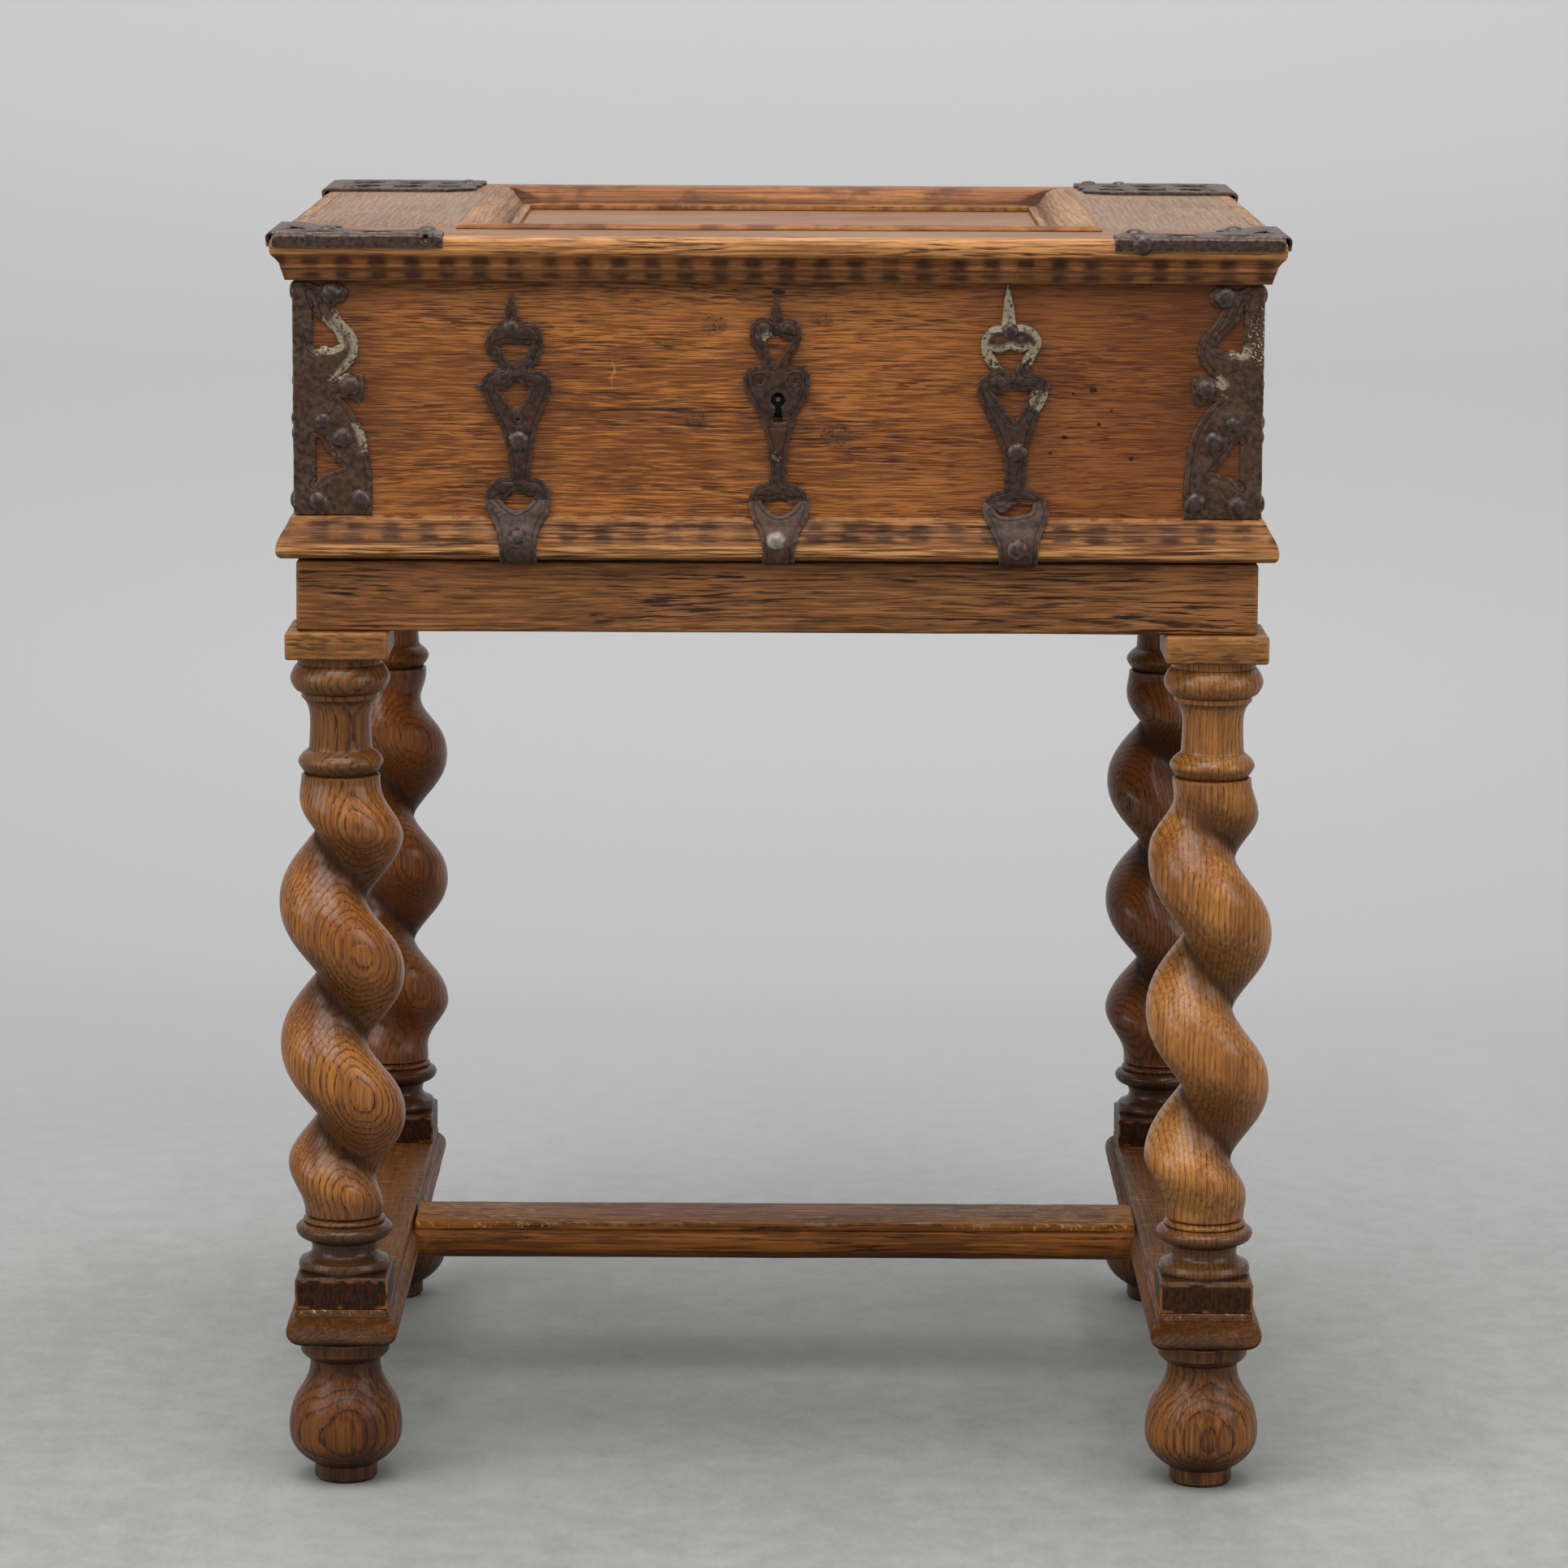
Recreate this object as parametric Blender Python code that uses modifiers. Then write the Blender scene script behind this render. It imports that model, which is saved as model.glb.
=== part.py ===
"""Oak travel casket with pierced iron mounts, on a stand with four barley-twist legs.

Metres, +Z up. The front faces -Y. The origin lies on the floor under the middle of the whole piece.
The casket stands loose on its stand, on the ends of its iron straps, which wrap under its base.
"""
import math

import bmesh
import bpy
from mathutils import Matrix, Vector

# Fits and sheet iron
GAP = 0.0003
IRON = 0.0016
IRON_SIDES = 10

# Plan of the stand, which the legs and the casket follow
FRAME_W = 0.560
FRAME_D = 0.486
CAP_W = 0.060
CAP_PROUD_X = 0.0065
CAP_PROUD_Y = 0.0070
LEG_SPACING_X = FRAME_W + 2 * CAP_PROUD_X - CAP_W
LEG_SPACING_Y = FRAME_D + 2 * CAP_PROUD_Y - CAP_W

# Turned feet
FOOT_SIDES = 16
FOOT_H = 0.0865
FOOT_STUB_R = 0.0187
FOOT_STUB_H = 0.0108
FOOT_BUN_R = 0.0337
FOOT_BUN_RISE = 0.0232
FOOT_NECK_R = 0.0210
FOOT_NECK_H = 0.0045
FOOT_COLLAR_R = 0.0265
FOOT_COLLAR_H = 0.0085

# Stretchers
BOARD_W = 0.066
BOARD_H = 0.0232
BOARD_ROUND = 0.0095
FILLET_W = 0.056
FILLET_H = 0.0036

# Twist legs: square plinth, turned base, twist, turned neck. The twist's section is a round that swells
# to one side and is a little flat there, and that side winds down the leg.
LEG_H = 0.3884
LEG_SIDES = 14
PLINTH_W = 0.055
PLINTH_H = 0.0182
LEG_BASE_H = 0.0345
LEG_NECK_H = 0.0712
LEG_BEAD_R = 0.0293
TWIST_R = 0.0270
TWIST_SWELL = 0.0112
TWIST_FLAT = 0.0014
TWIST_END_R = 0.0240
TWIST_RUNOUT = 0.0398
TWIST_RINGS = 30
# Side and depth of each leg, pitch of its twist, and the height at which it bulges to the left
LEGS = {
    "front_left": (-1, -1, 0.0855, 0.2423),
    "front_right": (1, -1, 0.0912, 0.1775),
    "back_left": (-1, 1, 0.084, 0.2177),
    "back_right": (1, 1, 0.080, 0.1627),
}

# Caps and frame
CAP_H = 0.0162
FRAME_H = 0.0412
RAIL_T = 0.022
ARRIS = 0.0010

# Casket
CASKET_IN_X = 0.0017
CASKET_IN_Y = 0.0020
CASKET_W = FRAME_W - 2 * CASKET_IN_X
CASKET_D = FRAME_D - 2 * CASKET_IN_Y
CASKET_H = 0.1606
WALL_T = 0.014
BOTTOM_T = 0.012
THROUGH = 0.010
BASE_H = 0.0245
BASE_NOSE = 0.0127
BASE_LEDGE = 0.0047

# Lid
LID_T = 0.0258
LID_SEAT = 0.0005
LID_LAP = 0.0032
EDGE_W = 0.0111
LID_RAIL_W = 0.076
LID_STILE_W = 0.113
PANEL_T = 0.008
PANEL_LIP = 0.009
PANEL_DROP = 0.0112
FRAME_BEAD_W = 0.029
FRAME_BEAD_LAP = 0.012
FRAME_BEAD_RISE = 0.0030

# Straps on the front
STRAPS = {"left": -0.2695 * CASKET_W, "middle": 0.0, "right": 0.2515 * CASKET_W}
STRAP_HALF_W = 0.0208
STRAP_TAIL = 0.018
STRAP_TAB = 0.0108
STRAP_BRIDGE = 0.0035
STRAP_REACH = 0.1260
KEYHOLE_X = STRAPS["middle"]
KEYHOLE_R = 0.0043
KEYHOLE_SLOT = 0.0058
KEYHOLE_Z = 0.0926
KEYHOLE_DROP = 0.0132

# Corner irons
CORNER_H = 0.1346
CORNER_W = 0.0432
LID_IRON_X = 0.090
LID_IRON_Y = 0.082
LID_IRON_FLANGE = 0.0062
LID_IRON_NOTCH = 0.0015
LID_IRON_BAND = 0.0245

# Hinges
HINGE_INSET = 0.1133
HINGE_SPACING = CASKET_W - 2 * HINGE_INSET
BARREL_R = 0.0052
BARREL_L = 0.040
KNUCKLE_L = 0.0196
PIN_R = 0.0021
PIN_HEAD_R = 0.0034
PIN_HEAD_H = 0.0018
PIN_FIT = 0.0004
HINGE_STRAP_W = 0.028
HINGE_TAIL = 0.022
LEAF_W = 0.044
LEAF_RISE = 0.0225

# Lock
LOCK_W = 0.100
LOCK_H = 0.082
LOCK_D = 0.016
LOCK_TOP = 0.0082
BOLT_L = 0.046
BOLT_H = 0.007
BOLT_T = 0.005
BOLT_TRAVEL = 0.012
BOLT_ARM_W = 0.008
STAPLE_X = 0.020
STAPLE_T = 0.004
STAPLE_W = 0.012
STAPLE_L = 0.0315
STAPLE_EYE_H = 0.0100
STAPLE_EYE_W = 0.0080
STAPLE_FLANGE_W = 0.028
STAPLE_FLANGE_D = 0.019
BOLT_ARM_CLEAR = 0.006
BOLT_PLAY = 0.004
BOLT_SET_BACK = 0.0045
BOLT_DROP = 0.0170
STAPLE_PLAY = 0.001
STAPLE_ROOM = 0.0025
LOCK_BACK_T = 0.003
KEY_POCKET_R = 0.012
KEY_POST_R = 0.0015
KEY_POST_SIDES = 8
KEY_POST_RECESS = 0.003

# Handles on the ends
HANDLE_Z = 0.082
HANDLE_PLATE_L = 0.126
HANDLE_PLATE_H = 0.026
EYE_SPACING = 0.096
EYE_R = 0.0070
EYE_SIDES = 12
EYE_L = 0.006
EYE_STANDOFF = 0.0115
BAIL_R = 0.0034
BAIL_FIT = 0.0007
BAIL_STUB = 0.002
BAIL_HALF_W = 0.058
BAIL_DROP = 0.047
BAIL_BEND = 0.005

# Heights that follow from the sizes above
BOARD_Z = FOOT_H + GAP
BOARD_TOP = BOARD_Z + BOARD_H
LEG_Z = BOARD_TOP + GAP
CAP_Z = LEG_Z + LEG_H + GAP
FRAME_Z = CAP_Z + CAP_H + GAP
FRAME_TOP = FRAME_Z + FRAME_H
CASKET_Z = FRAME_TOP + IRON + 2 * GAP
WALL_Z = CASKET_Z + BOTTOM_T + GAP
CASKET_TOP = CASKET_Z + CASKET_H
LID_Z = CASKET_TOP + LID_SEAT
LID_TOP = LID_Z + LID_T

# Faces that follow from the sizes above
FRONT_Y = -CASKET_D / 2
BACK_Y = CASKET_D / 2
SIDE_X = CASKET_W / 2
LID_SIDE_X = SIDE_X + LID_LAP
LID_FRONT_Y = FRONT_Y - LID_LAP
HINGE_Y = BACK_Y + GAP + BARREL_R
HINGE_Z = CASKET_TOP + LID_SEAT / 2

FINISHES = {
    "stand_oak": ((0.150, 0.066, 0.026), 0.42, 0.0),
    "casket_oak": ((0.230, 0.105, 0.036), 0.50, 0.0),
    "lid_oak": ((0.270, 0.165, 0.090), 0.62, 0.0),
    "iron": ((0.055, 0.047, 0.042), 0.55, 0.85),
}


def new_collection(name):
    collection = bpy.data.collections.new(name)
    bpy.context.scene.collection.children.link(collection)
    return collection


def new_material(name, finish):
    colour, roughness, metallic = FINISHES[finish]
    material = bpy.data.materials.new(name)
    material.use_nodes = True
    shader = material.node_tree.nodes["Principled BSDF"]
    shader.inputs["Base Color"].default_value = (*colour, 1.0)
    shader.inputs["Roughness"].default_value = roughness
    shader.inputs["Metallic"].default_value = metallic
    return material


def add_part(name, mesh, finish, location=(0.0, 0.0, 0.0)):
    """Make one named piece of the object from a mesh."""
    mesh.name = name
    mesh.materials.clear()
    mesh.materials.append(new_material(name + "_" + finish, finish))
    part = bpy.data.objects.new(name, mesh)
    PARTS.objects.link(part)
    part.parent = ROOT
    part.location = location
    return part


def add_cutter(name, mesh):
    cutter = bpy.data.objects.new(name, mesh)
    CUTTERS.objects.link(cutter)
    cutter.parent = ROOT
    cutter.hide_render = True
    cutter.display_type = "WIRE"
    return cutter


def combine(part, mesh, operation):
    """Cut a shape from a piece, or join one to it."""
    modifier = part.modifiers.new(operation.lower(), "BOOLEAN")
    modifier.operation = operation
    modifier.solver = "EXACT"
    modifier.object = add_cutter(part.name + "_" + operation.lower(), mesh)


def soften(part, width=ARRIS):
    """Take the sharp arris off a board."""
    modifier = part.modifiers.new("arris", "BEVEL")
    modifier.width = width
    modifier.segments = 1
    modifier.limit_method = "ANGLE"


def mesh_from(bm):
    """Finish a closed shape, with its faces turned outwards."""
    bmesh.ops.recalc_face_normals(bm, faces=bm.faces)
    if bm.calc_volume(signed=True) < 0:
        bmesh.ops.reverse_faces(bm, faces=bm.faces)
    mesh = bpy.data.meshes.new("mesh")
    bm.to_mesh(mesh)
    bm.free()
    return mesh


def box_mesh(low, high):
    low = Vector(low)
    high = Vector(high)
    size = high - low
    bm = bmesh.new()
    bmesh.ops.create_cube(bm, size=1.0)
    bmesh.ops.scale(bm, vec=size, verts=bm.verts)
    bmesh.ops.translate(bm, vec=(low + high) / 2, verts=bm.verts)
    return mesh_from(bm)


def cylinder_mesh(radius, start, end, sides=IRON_SIDES):
    start = Vector(start)
    axis = Vector(end) - start
    turn = axis.to_track_quat("Z", "Y").to_matrix().to_4x4()
    place = Matrix.Translation(start + axis / 2) @ turn
    bm = bmesh.new()
    bmesh.ops.create_cone(bm, cap_ends=True, segments=sides, radius1=radius, radius2=radius,
                          depth=axis.length, matrix=place)
    return mesh_from(bm)


def evaluated_mesh(item):
    """Turn an object with modifiers, or a curve, into a welded mesh."""
    bpy.context.view_layer.update()
    evaluated = item.evaluated_get(bpy.context.evaluated_depsgraph_get())
    mesh = bpy.data.meshes.new_from_object(evaluated)
    bpy.data.objects.remove(item)
    bm = bmesh.new()
    bm.from_mesh(mesh)
    bmesh.ops.remove_doubles(bm, verts=bm.verts, dist=1e-6)
    return mesh_from(bm)


def turned_mesh(profile, sides):
    """Turn a profile of (radius, height) points, listed from top to bottom."""
    mesh = bpy.data.meshes.new("profile")
    points = [(radius, 0.0, height) for radius, height in profile]
    edges = [(index, index + 1) for index in range(len(points) - 1)]
    mesh.from_pydata(points, edges, [])
    turning = bpy.data.objects.new("turning", mesh)
    bpy.context.scene.collection.objects.link(turning)
    screw = turning.modifiers.new("lathe", "SCREW")
    screw.steps = sides
    screw.render_steps = sides
    screw.use_merge_vertices = True
    screw.merge_threshold = 1e-5
    turned = evaluated_mesh(turning)
    turned.shade_smooth()
    turned.set_sharp_from_angle(angle=math.radians(40))
    return turned


def run_mesh(profile, start, end):
    """Run a closed profile of (out, up) points between two ends, each a place for a point."""
    bm = bmesh.new()
    rims = []
    for place in (start, end):
        face = bm.faces.new([bm.verts.new(place(out, up)) for out, up in profile])
        rims += face.edges[:]
    bmesh.ops.bridge_loops(bm, edges=rims)
    return mesh_from(bm)


def sheet_mesh(outlines):
    """Cut a flat iron sheet: first outline outside, the rest pierced.

    Points are (x, y, smooth). A smooth point is rounded, the others are corners.
    """
    curve = bpy.data.curves.new("sheet", "CURVE")
    curve.dimensions = "2D"
    curve.fill_mode = "BOTH"
    curve.extrude = IRON / 2
    curve.resolution_u = 2
    for outline in outlines:
        spline = curve.splines.new("BEZIER")
        spline.bezier_points.add(len(outline) - 1)
        spline.use_cyclic_u = True
        for point, (x, y, smooth) in zip(spline.bezier_points, outline):
            point.co = (x, y, 0.0)
            point.handle_left_type = "AUTO" if smooth else "VECTOR"
            point.handle_right_type = "AUTO" if smooth else "VECTOR"
    sheet = bpy.data.objects.new("sheet", curve)
    bpy.context.scene.collection.objects.link(sheet)
    return evaluated_mesh(sheet)


def mirrored(half):
    """Close a half outline, given upwards on +x, with its mirror image."""
    return half + [(-x, y, smooth) for x, y, smooth in reversed(half) if x > 0]


def offset_route(route, distance):
    """Shift a route of 2D points to its left, with mitred corners."""
    normals = []
    for start, end in zip(route, route[1:]):
        along = (Vector(end) - Vector(start)).normalized()
        normals.append(Vector((-along.y, along.x)))
    shifted = []
    for index, point in enumerate(route):
        before = normals[max(index - 1, 0)]
        after = normals[min(index, len(normals) - 1)]
        mitre = (before + after) / (1.0 + before.dot(after))
        shifted.append(Vector(point) + distance * mitre)
    return shifted


class Route:
    """The face that a sheet is hammered onto, as 2D points with the sheet on their left."""

    def __init__(self, points, zero):
        self.inner = offset_route(points, GAP)
        self.outer = offset_route(points, GAP + IRON)
        self.marks = [0.0]
        for start, end in zip(points, points[1:]):
            self.marks.append(self.marks[-1] + (Vector(end) - Vector(start)).length)
        origin = self.marks[zero]
        self.marks = [mark - origin for mark in self.marks]

    def point(self, along, thickness):
        """The place of a sheet point by its distance along the route and its side of the sheet."""
        index = 0
        while index < len(self.marks) - 2 and along > self.marks[index + 1]:
            index += 1
        share = (along - self.marks[index]) / (self.marks[index + 1] - self.marks[index])
        line = self.outer if thickness > 0 else self.inner
        return line[index].lerp(line[index + 1], share)


def fold_lines(mesh, routes):
    """Cut a flat sheet along its folds; each route has the sheet's axis, 0 for x or 1 for y."""
    bm = bmesh.new()
    bm.from_mesh(mesh)
    for route, axis in routes:
        normal = Vector((1 - axis, axis, 0.0))
        for mark in route.marks[1:-1]:
            everything = bm.verts[:] + bm.edges[:] + bm.faces[:]
            bmesh.ops.bisect_plane(bm, geom=everything, dist=1e-7,
                                   plane_co=normal * mark, plane_no=normal)
    return bm


def smoothstep(value):
    value = min(max(value, 0.0), 1.0)
    return value * value * (3.0 - 2.0 * value)


def build_feet():
    collar_z = FOOT_H - FOOT_COLLAR_H
    neck_z = collar_z - FOOT_NECK_H
    bun_z = FOOT_STUB_H + FOOT_BUN_RISE
    shoulder = neck_z - bun_z
    profile = [
        (0.0, FOOT_H),
        (FOOT_COLLAR_R, FOOT_H),
        (FOOT_COLLAR_R, collar_z),
        (FOOT_NECK_R, neck_z),
    ]
    for step in range(1, 6):
        share = step / 5
        profile.append((FOOT_NECK_R + (FOOT_BUN_R - FOOT_NECK_R) * smoothstep(share) ** 0.9,
                        neck_z - shoulder * share))
    belly = bun_z - FOOT_STUB_H
    for turn in (35, 65):
        angle = math.radians(turn)
        profile.append((FOOT_STUB_R + (FOOT_BUN_R - FOOT_STUB_R) * math.cos(angle),
                        bun_z - belly * math.sin(angle)))
    profile += [(FOOT_STUB_R, FOOT_STUB_H), (FOOT_STUB_R, 0.0), (0.0, 0.0)]
    for name, (side, depth, _, _) in LEGS.items():
        place = (side * LEG_SPACING_X / 2, depth * LEG_SPACING_Y / 2, 0.0)
        add_part("foot_" + name, turned_mesh(profile, FOOT_SIDES), "stand_oak", place)


def stretcher_edge():
    """Half section of a stretcher from bottom to top: (set back from the nose, height)."""
    step_back = (BOARD_W - FILLET_W) / 2
    round_h = BOARD_H - FILLET_H
    steps = 3
    lip = math.acos(max(1 - step_back / BOARD_ROUND, 0.0))
    edge = []
    for step in range(steps + 1):
        angle = math.pi / 2 * (1 - step / steps)
        edge.append((BOARD_ROUND * (1 - math.cos(angle)), BOARD_ROUND * (1 - math.sin(angle))))
    for step in range(steps):
        angle = lip * step / (steps - 1)
        edge.append((BOARD_ROUND * (1 - math.cos(angle)),
                     round_h - BOARD_ROUND * (1 - math.sin(angle))))
    return edge + [(step_back, round_h), (step_back, BOARD_H)]


def board_mesh(grow=0.0):
    """A side stretcher about its middle, its edge rounded all round; grow makes room for it elsewhere."""
    half_l = LEG_SPACING_Y / 2 + BOARD_W / 2 + grow
    half_w = BOARD_W / 2 + grow
    bm = bmesh.new()
    rings = []
    for back, up in stretcher_edge():
        ring = bmesh.ops.create_grid(bm, x_segments=1, y_segments=1, size=1.0)["verts"]
        bmesh.ops.scale(bm, vec=(half_w - back, half_l - back, 1.0), verts=ring)
        shift = grow if up > BOARD_ROUND else -grow
        bmesh.ops.translate(bm, vec=(0.0, 0.0, up + shift), verts=ring)
        rings.append(ring)
    for face in list(bm.faces)[1:-1]:
        bmesh.ops.delete(bm, geom=[face], context="FACES_ONLY")
    for lower, upper in zip(rings, rings[1:]):
        rims = [rim for rim in bm.edges if set(rim.verts) <= set(lower)]
        rims += [rim for rim in bm.edges if set(rim.verts) <= set(upper)]
        bmesh.ops.bridge_loops(bm, edges=rims)
    return mesh_from(bm)


def build_stretchers():
    for side, name in ((-1, "left"), (1, "right")):
        place = (side * LEG_SPACING_X / 2, 0.0, BOARD_Z)
        add_part("side_stretcher_" + name, board_mesh(), "stand_oak", place)
    half = [(BOARD_W / 2 - back, up) for back, up in stretcher_edge()]
    section = half + [(-out, up) for out, up in reversed(half)]
    end_x = (LEG_SPACING_X - FILLET_W) / 2 - GAP
    mesh = run_mesh(
        section,
        lambda out, up: Vector((-end_x, out, up)),
        lambda out, up: Vector((end_x, out, up)))
    cross = add_part("cross_stretcher", mesh, "stand_oak", (0.0, 0.0, BOARD_Z))
    for side in (-1, 1):
        room = board_mesh(GAP)
        room.transform(Matrix.Translation((side * LEG_SPACING_X / 2, 0.0, BOARD_Z)))
        combine(cross, room, "DIFFERENCE")


def leg_profile():
    """The leg's turned profile from its top to the plinth, before its twist is carved.

    Neck and base are in shares of the largest bead's radius and of their own height.
    """
    neck = [
        (0.000, 0.000), (0.853, 0.000), (0.853, 0.070), (0.928, 0.110), (1.000, 0.192),
        (0.904, 0.281), (0.778, 0.312), (0.778, 0.348), (0.683, 0.393), (0.611, 0.562),
        (0.631, 0.765), (0.648, 0.784), (0.785, 0.831), (0.853, 0.889), (0.785, 0.947),
    ]
    base = [
        (0.819, 0.922), (0.819, 0.864), (0.980, 0.725), (0.894, 0.594), (0.683, 0.522),
        (0.655, 0.362), (0.768, 0.246), (0.922, 0.188), (0.922, -0.116), (0.000, -0.116),
    ]
    plinth_top = PLINTH_H
    top = LEG_H
    twist_top = top - LEG_NECK_H
    twist_foot = plinth_top + LEG_BASE_H
    profile = [(radius * LEG_BEAD_R, top - down * LEG_NECK_H) for radius, down in neck]
    for ring in range(TWIST_RINGS + 1):
        profile.append((TWIST_END_R, twist_top + (twist_foot - twist_top) * ring / TWIST_RINGS))
    profile += [(radius * LEG_BEAD_R, plinth_top + up * LEG_BASE_H) for radius, up in base]
    return profile, twist_foot, twist_top


def build_legs():
    profile, twist_foot, twist_top = leg_profile()
    for name, (side, depth, pitch, bulge_left) in LEGS.items():
        leg = turned_mesh(profile, LEG_SIDES)
        for vertex in leg.vertices:
            x, y, height = vertex.co
            inside = min(twist_top - height, height - twist_foot)
            crown = math.pi + 2 * math.pi * (bulge_left - height) / pitch
            turn = math.atan2(y, x) - crown
            radius = TWIST_R + TWIST_SWELL * math.cos(turn) - TWIST_FLAT * math.cos(2 * turn)
            carved = 1 + (radius / TWIST_END_R - 1) * smoothstep(inside / TWIST_RUNOUT)
            vertex.co.x = x * carved
            vertex.co.y = y * carved
        place = Vector((side * LEG_SPACING_X / 2, depth * LEG_SPACING_Y / 2, LEG_Z))
        part = add_part("leg_" + name, leg, "stand_oak", place)
        half = PLINTH_W / 2
        plinth = box_mesh((-half, -half, 0.0), (half, half, PLINTH_H))
        plinth.transform(Matrix.Translation(place))
        combine(part, plinth, "UNION")


def build_frame():
    for name, (side, depth, _, _) in LEGS.items():
        half = CAP_W / 2
        cap = box_mesh((-half, -half, 0.0), (half, half, CAP_H))
        place = (side * LEG_SPACING_X / 2, depth * LEG_SPACING_Y / 2, CAP_Z)
        soften(add_part("cap_" + name, cap, "stand_oak", place))
    half_w = FRAME_W / 2
    half_d = FRAME_D / 2
    inner = half_d - RAIL_T
    for sign, name in ((-1, "front"), (1, "back")):
        near, far = sorted((sign * inner, sign * half_d))
        rail = box_mesh((-half_w, near, FRAME_Z), (half_w, far, FRAME_TOP))
        soften(add_part("frame_rail_" + name, rail, "stand_oak"))
    for sign, name in ((-1, "left"), (1, "right")):
        near, far = sorted((sign * (half_w - RAIL_T), sign * half_w))
        rail = box_mesh((near, -inner + GAP, FRAME_Z), (far, inner - GAP, FRAME_TOP))
        soften(add_part("frame_rail_" + name, rail, "stand_oak"))


def keyhole_mesh():
    """The keyhole's shape as a cutter through the front board, along Y."""
    low = CASKET_Z + KEYHOLE_Z
    near = FRONT_Y - THROUGH
    far = FRONT_Y + WALL_T + THROUGH
    eye = cylinder_mesh(KEYHOLE_R, (KEYHOLE_X, near, low), (KEYHOLE_X, far, low))
    half = KEYHOLE_SLOT / 2
    slot = box_mesh((KEYHOLE_X - half, near, low - KEYHOLE_DROP), (KEYHOLE_X + half, far, low))
    return eye, slot


def build_casket():
    inner_y = CASKET_D / 2 - WALL_T
    front = box_mesh((-SIDE_X, FRONT_Y, WALL_Z), (SIDE_X, -inner_y, CASKET_TOP))
    wall = add_part("wall_front", front, "casket_oak")
    for cutter in keyhole_mesh():
        combine(wall, cutter, "DIFFERENCE")
    back = box_mesh((-SIDE_X, inner_y, WALL_Z), (SIDE_X, BACK_Y, CASKET_TOP))
    add_part("wall_back", back, "casket_oak")
    for sign, name in ((-1, "left"), (1, "right")):
        near, far = sorted((sign * (SIDE_X - WALL_T), sign * SIDE_X))
        wall = box_mesh((near, -inner_y + GAP, WALL_Z), (far, inner_y - GAP, CASKET_TOP))
        add_part("wall_" + name, wall, "casket_oak")
    bottom = box_mesh((-SIDE_X, FRONT_Y, CASKET_Z), (SIDE_X, BACK_Y, CASKET_Z + BOTTOM_T))
    add_part("bottom_board", bottom, "casket_oak")


def base_face():
    """The base moulding's outer face from bottom to top: (out from the wall, up from the base)."""
    shares = [(0.787, 0.0), (0.937, 0.065), (1.0, 0.204), (0.780, 0.56)]
    face = [(out * BASE_NOSE, up * BASE_H) for out, up in shares]
    return face + [(BASE_LEDGE, 0.939 * BASE_H)]


def lid_edge_face():
    """The lid moulding's outer face from bottom to top: (out from the lid's frame, up from its foot)."""
    shares = [(0.270, 0.0), (0.378, 0.155), (0.505, 0.310), (0.550, 0.388), (0.766, 0.504), (0.964, 0.601),
              (1.0, 0.678)]
    return [(out * EDGE_W, up * LID_T) for out, up in shares] + lid_round()


def lid_round():
    """The rounded upper edge of the lid moulding, from the nose up to the top."""
    shares = [(1.0, 0.833), (0.910, 0.938), (0.676, 1.0)]
    return [(out * EDGE_W, up * LID_T) for out, up in shares]


def build_mouldings(name, profile, side_x, front_y, foot_z, finish):
    """Run a moulding along the front and both ends, mitred at the front corners."""
    far = BACK_Y
    front = run_mesh(
        profile,
        lambda out, up: Vector((-side_x - out, front_y - out, foot_z + up)),
        lambda out, up: Vector((side_x + out, front_y - out, foot_z + up)))
    add_part(name + "_front", front, finish)
    for sign, side in ((-1, "left"), (1, "right")):
        end = run_mesh(
            profile,
            lambda out, up: Vector((sign * (side_x + out), front_y - out + 2 * GAP, foot_z + up)),
            lambda out, up: Vector((sign * (side_x + out), far, foot_z + up)))
        add_part(name + "_" + side, end, finish)


def build_base_moulding():
    profile = [(GAP, 0.0)] + base_face() + [(GAP, BASE_H)]
    build_mouldings("base_moulding", profile, SIDE_X, FRONT_Y, CASKET_Z, "casket_oak")


def build_lid():
    centre_y = (LID_FRONT_Y + BACK_Y) / 2
    half_d = (BACK_Y - LID_FRONT_Y) / 2
    open_x = LID_SIDE_X - LID_STILE_W
    open_y = half_d - LID_RAIL_W
    seat_z = LID_TOP - PANEL_DROP - PANEL_T - GAP
    seat = ((-open_x - PANEL_LIP, centre_y - open_y - PANEL_LIP, seat_z),
            (open_x + PANEL_LIP, centre_y + open_y + PANEL_LIP, LID_TOP + THROUGH))
    for sign, name in ((-1, "front"), (1, "back")):
        near, far = sorted((sign * open_y, sign * half_d))
        rail = box_mesh((-LID_SIDE_X, centre_y + near, LID_Z), (LID_SIDE_X, centre_y + far, LID_TOP))
        combine(add_part("lid_rail_" + name, rail, "lid_oak"), box_mesh(*seat), "DIFFERENCE")
    for sign, name in ((-1, "left"), (1, "right")):
        near, far = sorted((sign * open_x, sign * LID_SIDE_X))
        stile = box_mesh((near, centre_y - open_y + GAP, LID_Z), (far, centre_y + open_y - GAP, LID_TOP))
        combine(add_part("lid_stile_" + name, stile, "lid_oak"), box_mesh(*seat), "DIFFERENCE")
    panel_x = open_x + PANEL_LIP - GAP
    panel_y = open_y + PANEL_LIP - GAP
    panel_top = LID_TOP - PANEL_DROP
    panel = box_mesh((-panel_x, centre_y - panel_y, panel_top - PANEL_T),
                     (panel_x, centre_y + panel_y, panel_top))
    add_part("lid_panel", panel, "lid_oak")
    build_panel_moulding(panel_x, panel_y, centre_y, panel_top)
    edge = [(GAP, 0.0)] + lid_edge_face() + [(GAP, LID_T)]
    build_mouldings("lid_moulding", edge, LID_SIDE_X, LID_FRONT_Y, LID_Z, "lid_oak")


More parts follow.
